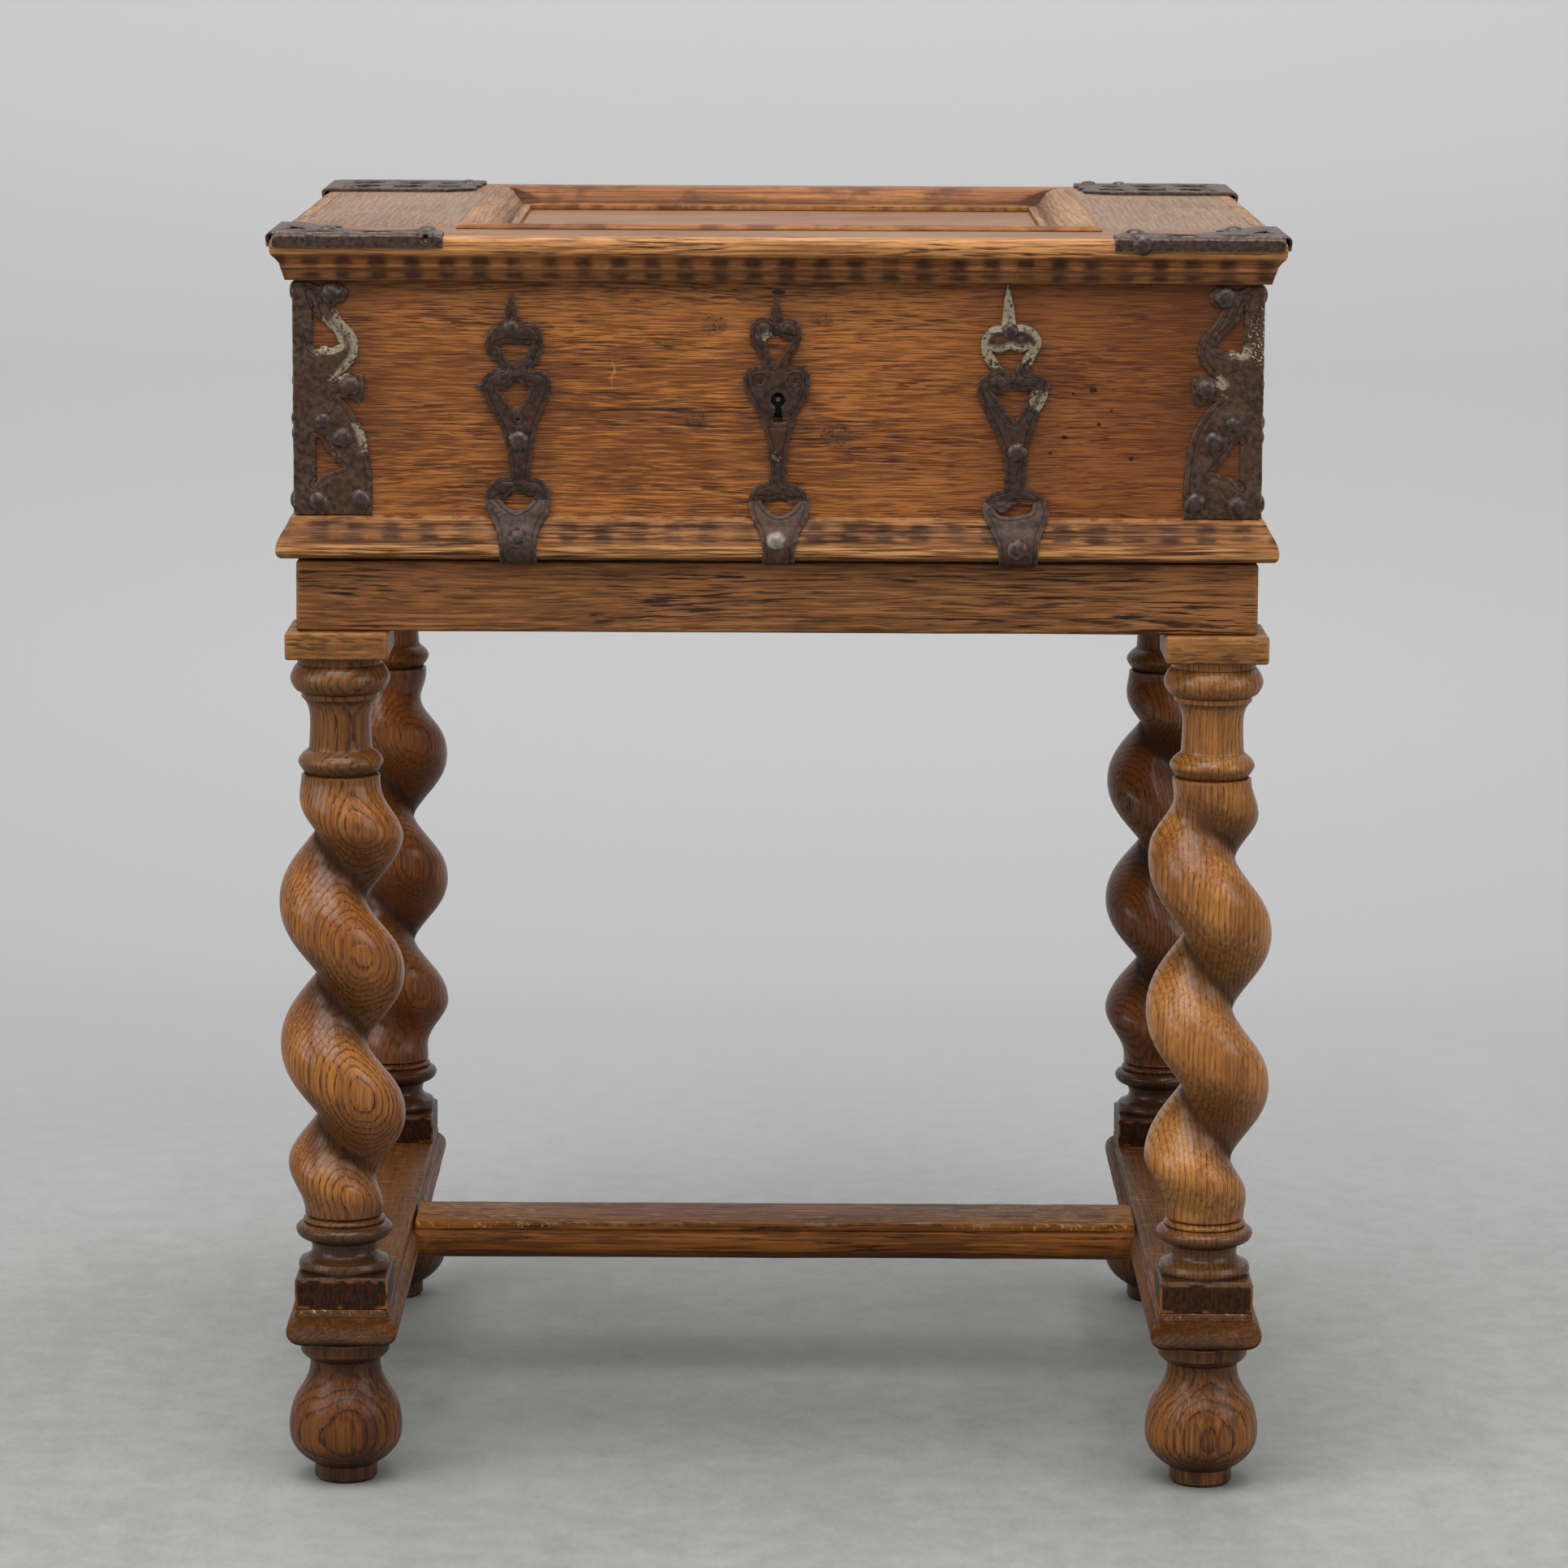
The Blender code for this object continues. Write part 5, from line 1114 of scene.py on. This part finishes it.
finished("lock_plate_screw", bm, wrought_iron("screw_steel", shine=0.34), "casket", "iron")


# Hinges and lock: two strap hinges on the back turn on loose pins, and the lock sits behind the
# front board with its bolt and the lid's staple. All are plain forged iron.
hinge_iron = wrought_iron("hinge_iron")
for side in ("left", "right"):
    for node in ("hinge_strap_", "hinge_pin_", "hinge_leaf_"):
        dress(node + side, hinge_iron)
lock_iron = wrought_iron("lock_iron", tones=((96, 90, 86), (138, 132, 126)), shine=0.4)
for node in ("lock_case", "lock_bolt", "lock_staple"):
    dress(node, lock_iron)

HINGE_FACE_Y = CASKET_HIGH.y + SHEET_GAP + IRON
bm = bmesh.new()
for side in ("left", "right"):
    low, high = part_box("hinge_strap_" + side)
    for height in (0.585, 0.620, 0.653):
        at = Vector(((low.x + high.x) / 2, HINGE_FACE_Y, height))
        nail_head(bm, at, (0.0, 1.0, 0.0), 0.0052, 0.0030)
finished("hinge_strap_nails", bm, nail_iron, "casket", "iron")
bm = bmesh.new()
for side in ("left", "right"):
    low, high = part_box("hinge_leaf_" + side)
    for share in (0.22, 0.78):
        at = Vector((low.x + (high.x - low.x) * share, HINGE_FACE_Y, high.z - 0.0068))
        nail_head(bm, at, (0.0, 1.0, 0.0), 0.0042, 0.0024)
finished("hinge_leaf_nails", bm, nail_iron, "lid", "iron")


# Handles: a plate with two eyes on each end of the casket carries a swinging bail of round bar.
# The bail hangs down at rest and is rubbed bright over its round.
BAIL_R = 0.0034
EYE_SPACING = 0.096
EYE_L = 0.006
BAIL_HALF_W = 0.058
BAIL_DROP = 0.047
BAIL_BEND = 0.005
bail_line = [((EYE_SPACING - EYE_L) / 2 - 0.002, 0.0)]
for step in range(7):
    angle = math.radians(90 - 15 * step)
    bail_line.append((BAIL_HALF_W + BAIL_BEND * (math.cos(angle) - 1), BAIL_BEND * (math.sin(angle) - 1)))
for step in range(1, 17):
    angle = math.radians(90 * step / 16)
    bail_line.append((BAIL_HALF_W * math.cos(angle) ** 0.6,
                      -BAIL_BEND - (BAIL_DROP - BAIL_BEND) * math.sin(angle) ** 0.75))
bail_line += [(-y, z) for y, z in reversed(bail_line[:-1])]
handle_iron = wrought_iron("handle_iron", shine=0.38)
for side, sign in (("left", -1), ("right", 1)):
    dress("handle_plate_" + side, handle_iron)
    low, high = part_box("handle_plate_" + side)
    bail_low, bail_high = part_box("bail_" + side)
    axis_x = (bail_low.x + bail_high.x) / 2
    axis_z = bail_high.z - BAIL_R
    curve = bpy.data.curves.new("bail", "CURVE")
    curve.dimensions = "3D"
    curve.bevel_depth = BAIL_R
    curve.bevel_resolution = 5
    curve.use_fill_caps = True
    spline = curve.splines.new("POLY")
    spline.points.add(len(bail_line) - 1)
    for point, (y, z) in zip(spline.points, bail_line):
        point.co = (axis_x, y, axis_z + z, 1.0)
    bm = mesh_of(curve)
    finished("round_bail_" + side, bm, handle_iron, side + "_handle", "iron", "bail_" + side)
    bm = bmesh.new()
    for y in (-0.034, 0.0, 0.034):
        nail_head(bm, Vector((sign * (SIDE_X + SHEET_GAP + IRON), y, (low.z + high.z) / 2)), (sign, 0.0, 0.0),
                  0.0042, 0.0022)
    finished("handle_plate_nails_" + side, bm, handle_iron, "casket", "iron")


# Lid frame and panel: two long rails and two stiles, tenoned, round a sunk panel.
# The tops are rubbed and dusty, paler and greyer than the front.
LID_LOW, LID_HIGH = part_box("lid_rail_front")
LID_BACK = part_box("lid_rail_back")[1].y


def dusty(place, colour):
    """A thin veil of dust and wear over the lid."""
    clouds = stretched(place, (9.0, 9.0, 9.0), 5.0)
    return blend(ramp(clouds, 0.25, 0.75) * 0.45, colour, tint(150, 124, 98))


for side in ("front", "back"):
    at = middle_of("lid_rail_" + side)
    dress("lid_rail_" + side, oak("lid_rail_oak_" + side, "X", (0.0, at.y + 0.1, 0.70),
                                  ((152, 96, 45), (108, 63, 27), (58, 34, 15)), ring=0.003, ring_depth=0.35,
                                  dash_depth=0.4, streak=2.4, patchy=0.7, stain=dusty))
for side in ("left", "right"):
    at = middle_of("lid_stile_" + side)
    dress("lid_stile_" + side, oak("lid_stile_oak_" + side, "Y", (at.x + 0.09, 0.0, 0.68),
                                   ((138, 98, 63), (100, 67, 40),
                                   (56, 36, 21)), ring=0.0034, ring_depth=0.35,
                                   dash_depth=0.4, streak=2.4, patchy=0.7, stain=dusty))
dress("lid_panel", oak("lid_panel_oak", "X", (0.0, 0.1, 0.60), ((150, 98, 54), (106, 66, 34), (58, 35, 18)),
                       ring=0.004, ring_depth=0.4, streak=2.4, patchy=0.7, stain=dusty))


# Panel moulding: a raised oak moulding, mitred into a frame, which holds the lid's panel down.
# It is reddish, and its long sides are blotched.
PANEL_LOW, PANEL_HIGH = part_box("lid_panel")
BEAD_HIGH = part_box("panel_moulding")[1]
BEAD_W = 0.029
bead_lap = BEAD_HIGH.x - PANEL_HIGH.x
bead_sight = bead_lap - BEAD_W
crown = BEAD_HIGH.z - PANEL_HIGH.z
seat = LID_HIGH.z - PANEL_HIGH.z + 0.0003
BEAD_SHARES = flowing([(0.0, 0.211, 0), (0.172, 0.338, 1), (0.362, 0.732, 0), (0.414, 0.845, 1),
                       (0.56, 0.96, 1), (0.707, 1.0, 1), (0.845, 1.0, 1), (0.95, 0.94, 1),
                       (1.0, 0.845, 0)], 3)
bead = [(bead_sight, 0.0003)] + [(bead_sight + share.x * BEAD_W, share.y * crown) for share in BEAD_SHARES]
bead += [(bead_lap, seat), (0.0, seat), (0.0, 0.0003)]
panel_middle = (PANEL_LOW + PANEL_HIGH) / 2
panel_half = (PANEL_HIGH - PANEL_LOW) / 2
bm = bmesh.new()
loops = []
for x, y in ((-1, -1), (1, -1), (1, 1), (-1, 1)):
    ring = []
    for out, up in bead:
        ring.append(bm.verts.new((x * (panel_half.x + out), panel_middle.y + y * (panel_half.y + out),
                                  PANEL_HIGH.z + up)))
    loops.append([bm.edges.new(pair) for pair in zip(ring, ring[1:] + ring[:1])])
for index, loop in enumerate(loops):
    bmesh.ops.bridge_loops(bm, edges=loop + loops[(index + 1) % 4])
for face in bm.faces:
    at = face.calc_center_median()
    face.material_index = int(abs(at.x) / panel_half.x > abs(at.y - panel_middle.y) / panel_half.y)
slice_up(bm, 0, 0.005)
slice_up(bm, 1, 0.005)


def blotchy(place, colour):
    """Uneven dark and grey patches."""
    patches = ramp(stretched(place, (42.0, 42.0, 42.0), 4.0), 0.50, 0.66)
    return blend(patches * 0.65, colour, tint(78, 42, 22))


BEAD_OAK = ((172, 112, 62), (120, 72, 37), (60, 35, 18))
BEAD_END_OAK = ((168, 122, 78), (122, 82, 48), (66, 42, 24))
long_oak = oak("panel_moulding_oak_long", "X", (0.0, -0.16, 0.69), BEAD_OAK, ring_depth=0.4, shine=0.15,
               stain=blotchy)
short_oak = oak("panel_moulding_oak_short", "Y", (0.15, 0.0, 0.69), BEAD_END_OAK, ring_depth=0.4, shine=0.15)
piece = finished("mitred_panel_moulding", bm, long_oak, "lid", "lid_oak", "panel_moulding", crease=50)
piece.data.materials.append(short_oak)


# Lid mouldings: an oak moulding with a rounded nose over a hollow, planted along the lid's front and
# ends and mitred. Two rows of dark blotches run along it.
LID_EDGE_W = 0.0111
LID_T = LID_HIGH.z - LID_LOW.z
LID_FACE = flowing([(0.270, 0.0, 0), (0.378, 0.155, 1), (0.505, 0.310, 1), (0.550, 0.388, 0),
                    (0.766, 0.504, 1), (0.930, 0.575, 1), (1.0, 0.678, 1), (1.0, 0.833, 1),
                    (0.910, 0.938, 1), (0.676, 1.0, 0)], 4)
lid_edge = [(share.x * LID_EDGE_W, share.y * LID_T) for share in LID_FACE]
LID_EDGE_OAK = {
    "front": ((206, 145, 86), (150, 99, 54), (58, 34, 17)),
    "left": ((150, 104, 62), (106, 69, 38), (56, 34, 18)),
    "right": ((150, 104, 62), (106, 69, 38), (56, 34, 18)),
}


def lid_edge_oak(side):
    """Oak for one lid moulding: two blotched rows with a dark groove line between them, and painted shade
    under the nose, in the groove line and on the lower hollow.
    """
    axis = "X" if side == "front" else "Y"
    rows = [(LID_LOW.z + 0.0110, 0.0040, 0.0192), (LID_LOW.z + 0.0032, 0.0028, 0.0192)]
    pith = (0.0, -0.30, 0.66) if axis == "X" else (0.31, 0.0, 0.66)
    blotches = blotched(axis, rows, 0.01962, (44, 24, 12), 0.9)

    def stain(place, colour):
        height = place.along("Z")
        # painted shade below the nose
        colour = blend(ramp(height, LID_LOW.z + 0.0170, LID_LOW.z + 0.0135) * 0.45, colour, tint(140, 74, 24))
        colour = blotches(place, colour)
        # a painted dark line for the shade in the groove
        groove = ramp(place.math("ABSOLUTE", height - LID_LOW.z - 0.0066), 0.0011, 0.0003)
        colour = blend(groove * 0.6, colour, tint(36, 19, 9))
        # painted shade on the lower hollow
        return blend(ramp(height, LID_LOW.z + 0.0075, LID_LOW.z + 0.0055) * 0.45, colour, tint(50, 28, 13))

    return oak("lid_moulding_oak_" + side, axis, pith, LID_EDGE_OAK[side], ring=0.003, ring_depth=0.5,
               dash=(700.0, 36.0), dash_depth=0.7, streak=2.6, stain=stain)


mouldings("lid_moulding", [(0.0003, 0.0)] + lid_edge + [(0.0003, LID_T)], LID_HIGH.x, LID_LOW.y, LID_LOW.z,
          "lid", "lid_oak", lid_edge_oak)


# Lid irons: pierced sheet iron on each corner of the lid, bent down over the edge and nailed.
# They match the casket's corner irons.
ARM_X = 99.0
ARM_Y = 85.6
FLANGE = 0.0063
BEND = 0.0008
NOTCH_MM = 1.5
lid_bed = Bed([(0.0, LID_HIGH.z - FLANGE), (0.0, LID_HIGH.z - BEND), (BEND, LID_HIGH.z),
               (0.2, LID_HIGH.z)], 2)
nose_x = LID_HIGH.x + LID_EDGE_W
nose_y = LID_LOW.y - LID_EDGE_W
FRONT_PLATE_MM = [
    (ARM_X, 16.0, 0), (96.0, 27.0, 1), (91.5, 36.0, 1), (84.0, 38.5, 1), (77.0, 33.0, 0), (70.0, 27.0, 1),
    (60.0, 24.5, 1), (52.0, 28.0, 1), (46.0, 36.0, 0), (38.0, 38.0, 1), (32.5, 43.0, 1), (33.0, 50.0, 1),
    (37.0, 58.0, 1), (33.0, 67.0, 1), (25.0, 66.0, 0), (22.0, 75.0, 1), (16.0, ARM_Y, 0),
]
FRONT_HOLES_MM = [
    [(13.0, 6.0, 0), (30.0, 5.0, 1), (42.0, 6.0, 0), (36.0, 15.0, 1), (24.0, 18.5, 1), (17.0, 15.0, 1)],
    [(49.0, 6.0, 0), (60.0, 5.0, 1), (71.0, 6.0, 0), (66.0, 17.0, 1), (56.0, 18.5, 1)],
    [(77.0, 7.0, 0), (91.0, 6.0, 0), (87.0, 17.0, 1), (80.0, 17.0, 1)],
    [(6.0, 24.0, 0), (19.0, 27.0, 0), (17.0, 40.0, 1), (8.0, 56.0, 0)],
]
BACK_PLATE_MM = [
    (ARM_X, 16.0, 0), (95.5, 26.0, 1), (98.0, 37.0, 1), (93.0, 47.0, 0), (96.0, 60.0, 1), (93.0, 74.0, 1),
    (86.0, 80.0, 1), (78.0, ARM_Y, 0),
]
BACK_HOLES_MM = [
    [(12.0, 10.0, 0), (26.0, 8.0, 1), (34.0, 16.0, 1), (30.0, 30.0, 1), (16.0, 36.0, 0)],
    [(42.0, 12.0, 0), (56.0, 14.0, 1), (64.0, 24.0, 1), (54.0, 37.0, 0), (46.0, 27.0, 1)],
    [(72.0, 17.0, 0), (81.0, 21.0, 1), (80.0, 34.0, 1), (70.0, 39.0, 0)],
    [(10.0, 46.0, 0), (24.0, 42.0, 1), (34.0, 56.0, 1), (22.0, 75.0, 0)],
    [(42.0, 46.0, 0), (56.0, 45.0, 1), (62.0, 60.0, 0), (50.0, 75.0, 1), (42.0, 63.0, 1)],
    [(70.0, 47.0, 0), (84.0, 52.0, 1), (83.0, 68.0, 0), (70.0, 73.0, 1)],
]
LID_NAILS_MM = {
    "front_left": [(31.0, 27.0, 5.6), (89.0, 27.0, 5.6)],
    "front_right": [(86.0, 29.0, 5.8), (27.0, 57.0, 5.4)],
    "back_left": [(89.0, 30.0, 5.6), (14.0, 78.0, 4.6)],
    "back_right": [(90.0, 11.0, 5.6), (70.0, 7.5, 4.4), (14.0, 78.0, 4.6)],
}
FLANGE_NAILS = {
    "front_left": [(-0.2697, 0.7439, 0.0040, 0.0014)],
    "front_right": [(0.2090, 0.7428, 0.0060, 0.0034), (0.2748, 0.7424, 0.0026, 0.0010)],
}
FLANGE_HOLE_X = -0.2032
FLANGE_HOLE_Z = 0.7440
# the lid irons' hole walls get painted shade
lid_iron = wrought_iron("lid_iron", tones=((50, 38, 33), (88, 70, 60)), painted_wall_shade=0.9)
for corner, (side, depth) in CORNERS.items():
    edge_mm = lid_bed.marks[0] * 1000
    inner = FRONT_PLATE_MM if depth < 0 else BACK_PLATE_MM
    plate = [(NOTCH_MM, edge_mm, 0), (ARM_X, edge_mm, 0)] + inner
    plate += [(edge_mm, ARM_Y, 0), (edge_mm, NOTCH_MM, 0), (NOTCH_MM, NOTCH_MM, 0)]
    holes = FRONT_HOLES_MM if depth < 0 else BACK_HOLES_MM
    if corner == "front_left":
        holes = holes + [ring_hole((nose_x + FLANGE_HOLE_X) * 1000, (FLANGE_HOLE_Z - LID_HIGH.z) * 1000, 1.6)]
    bm = cut_sheet([plate] + holes)
    lid_bed.fold(bm, 0)
    lid_bed.fold(bm, 1)

    def laid(along_x, along_y, lift):
        out_x, z_x = lid_bed.place(along_x, lift)
        out_y, z_y = lid_bed.place(along_y, lift)
        y = nose_y + out_y if depth < 0 else LID_BACK - out_y
        return Vector((side * (nose_x - out_x), y, min(z_x, z_y)))

    for vertex in bm.verts:
        vertex.co = laid(*vertex.co)
    hand_worked(bm, 0.0002, 120.0)
    finished("pierced_lid_iron_" + corner, bm, lid_iron, "lid", "iron", "lid_iron_" + corner)
    bm = bmesh.new()
    for x, y, radius in LID_NAILS_MM[corner]:
        nail_head(bm, laid(x * MM, y * MM, IRON / 2), (0.0, 0.0, 1.0), radius * MM, radius * 0.0005)
    for x, z, radius, rise in FLANGE_NAILS.get(corner, []):
        nail_head(bm, Vector((x, nose_y - SHEET_GAP - IRON, z)), (0.0, -1.0, 0.0), radius, rise)
    finished("lid_nails_" + corner, bm, nail_iron, "lid", "iron")


# Studio: a pale grey floor swept up into the backdrop, and soft light from above and both sides.
# The sweep can be seen through from behind, so that the object's back can be looked at too.
# None of it belongs to the object.
def plain_grey(name, floor, wall, edge):
    """Matt grey on its front only: a streaked floor, which runs into the paler wall towards a line."""
    material, paint, place = blank(name)
    back = place.along("Y")
    clouds = stretched(place, (5.0, 2.0, 5.0), 6.0)
    streaks = stretched(place, (45.0, 40.0, 45.0), 6.0)
    grit = stretched(place, (260.0, 90.0, 260.0), 3.0)
    marks = ramp(clouds * 0.45 + streaks * 0.35 + grit * 0.2, 0.32, 0.68)
    colour = blend(marks, tint(floor + 7, floor + 7, floor + 5), tint(floor - 15, floor - 15, floor - 18))
    upright = ramp(place.along("Z"), 0.05, 0.75)
    paper = blend(upright, tint(wall - 10, wall - 10, wall - 10), tint(wall + 9, wall + 9, wall + 9))
    colour = blend(ramp(back + (clouds - 0.5) * 0.2, edge - 1.2, edge + 0.3), colour, paper)
    shader = coat_with(material, {"Base Color": colour})
    shader.inputs["Roughness"].default_value = 0.6
    behind = paint.node("NewGeometry", output="Backfacing")
    sided = paint.node("MixShader", {}, {0: behind, 1: Paint(paint.tree, shader.outputs[0]),
                                         2: paint.node("BsdfTransparent")})
    paint.tree.links.new(sided.socket, material.node_tree.nodes["Material Output"].inputs["Surface"])
    return material


SWEEP_R = 0.5
SWEEP_Y = 1.1
SWEEP_NEAR = -6.0
SWEEP_TOP = 5.0
SWEEP_HALF_W = 6.0
bm = bmesh.new()
sweep = [(SWEEP_NEAR, 0.0), (SWEEP_Y, 0.0)]
for step in range(1, 13):
    angle = math.pi / 2 * step / 12
    sweep.append((SWEEP_Y + SWEEP_R * math.sin(angle), SWEEP_R * (1 - math.cos(angle))))
sweep.append((SWEEP_Y + SWEEP_R, SWEEP_TOP))
line = [bm.verts.new((-SWEEP_HALF_W, y, z)) for y, z in sweep]
edges = [bm.edges.new(pair) for pair in zip(line, line[1:])]
grown = bmesh.ops.extrude_edge_only(bm, edges=edges)["geom"]
far_line = [item for item in grown if isinstance(item, bmesh.types.BMVert)]
bmesh.ops.translate(bm, verts=far_line, vec=(2 * SWEEP_HALF_W, 0.0, 0.0))
bm.normal_update()
turned_away = [face for face in bm.faces if face.normal.z < -1e-6 or face.normal.y > 1e-6]
bmesh.ops.reverse_faces(bm, faces=turned_away)
mesh = bpy.data.meshes.new("studio_sweep")
bm.to_mesh(mesh)
bm.free()
mesh.shade_smooth()
mesh.materials.append(plain_grey("studio_grey", 162, 180, SWEEP_Y))
studio_sweep = bpy.data.objects.new("studio_sweep", mesh)
bpy.context.scene.collection.objects.link(studio_sweep)

LIGHTS = [
    ("overhead_light", (-0.2, -1.2, 3.0), (0.0, 0.0, 0.4), 2.4, 66.0),
    ("left_light", (-2.6, -1.6, 1.7), (0.0, 0.0, 0.45), 1.8, 26.0),
    ("right_light", (2.6, -1.6, 1.7), (0.0, 0.0, 0.45), 1.8, 22.0),
    ("backdrop_light", (0.3, 0.3, 3.8), (0.3, 2.6, 3.0), 2.5, 88.0),
]
for name, place, target, size, power in LIGHTS:
    lamp = bpy.data.lights.new(name, "AREA")
    lamp.shape = "SQUARE"
    lamp.size = size
    lamp.energy = power
    light = bpy.data.objects.new(name, lamp)
    light.location = place
    light.rotation_euler = (Vector(target) - Vector(place)).to_track_quat("-Z", "Y").to_euler()
    bpy.context.scene.collection.objects.link(light)
world = bpy.data.worlds.new("studio_air")
world.use_nodes = True
world.node_tree.nodes["Background"].inputs["Color"].default_value = tint(235, 238, 242)
world.node_tree.nodes["Background"].inputs["Strength"].default_value = 0.44
bpy.context.scene.world = world
bpy.context.scene.view_settings.view_transform = "Standard"
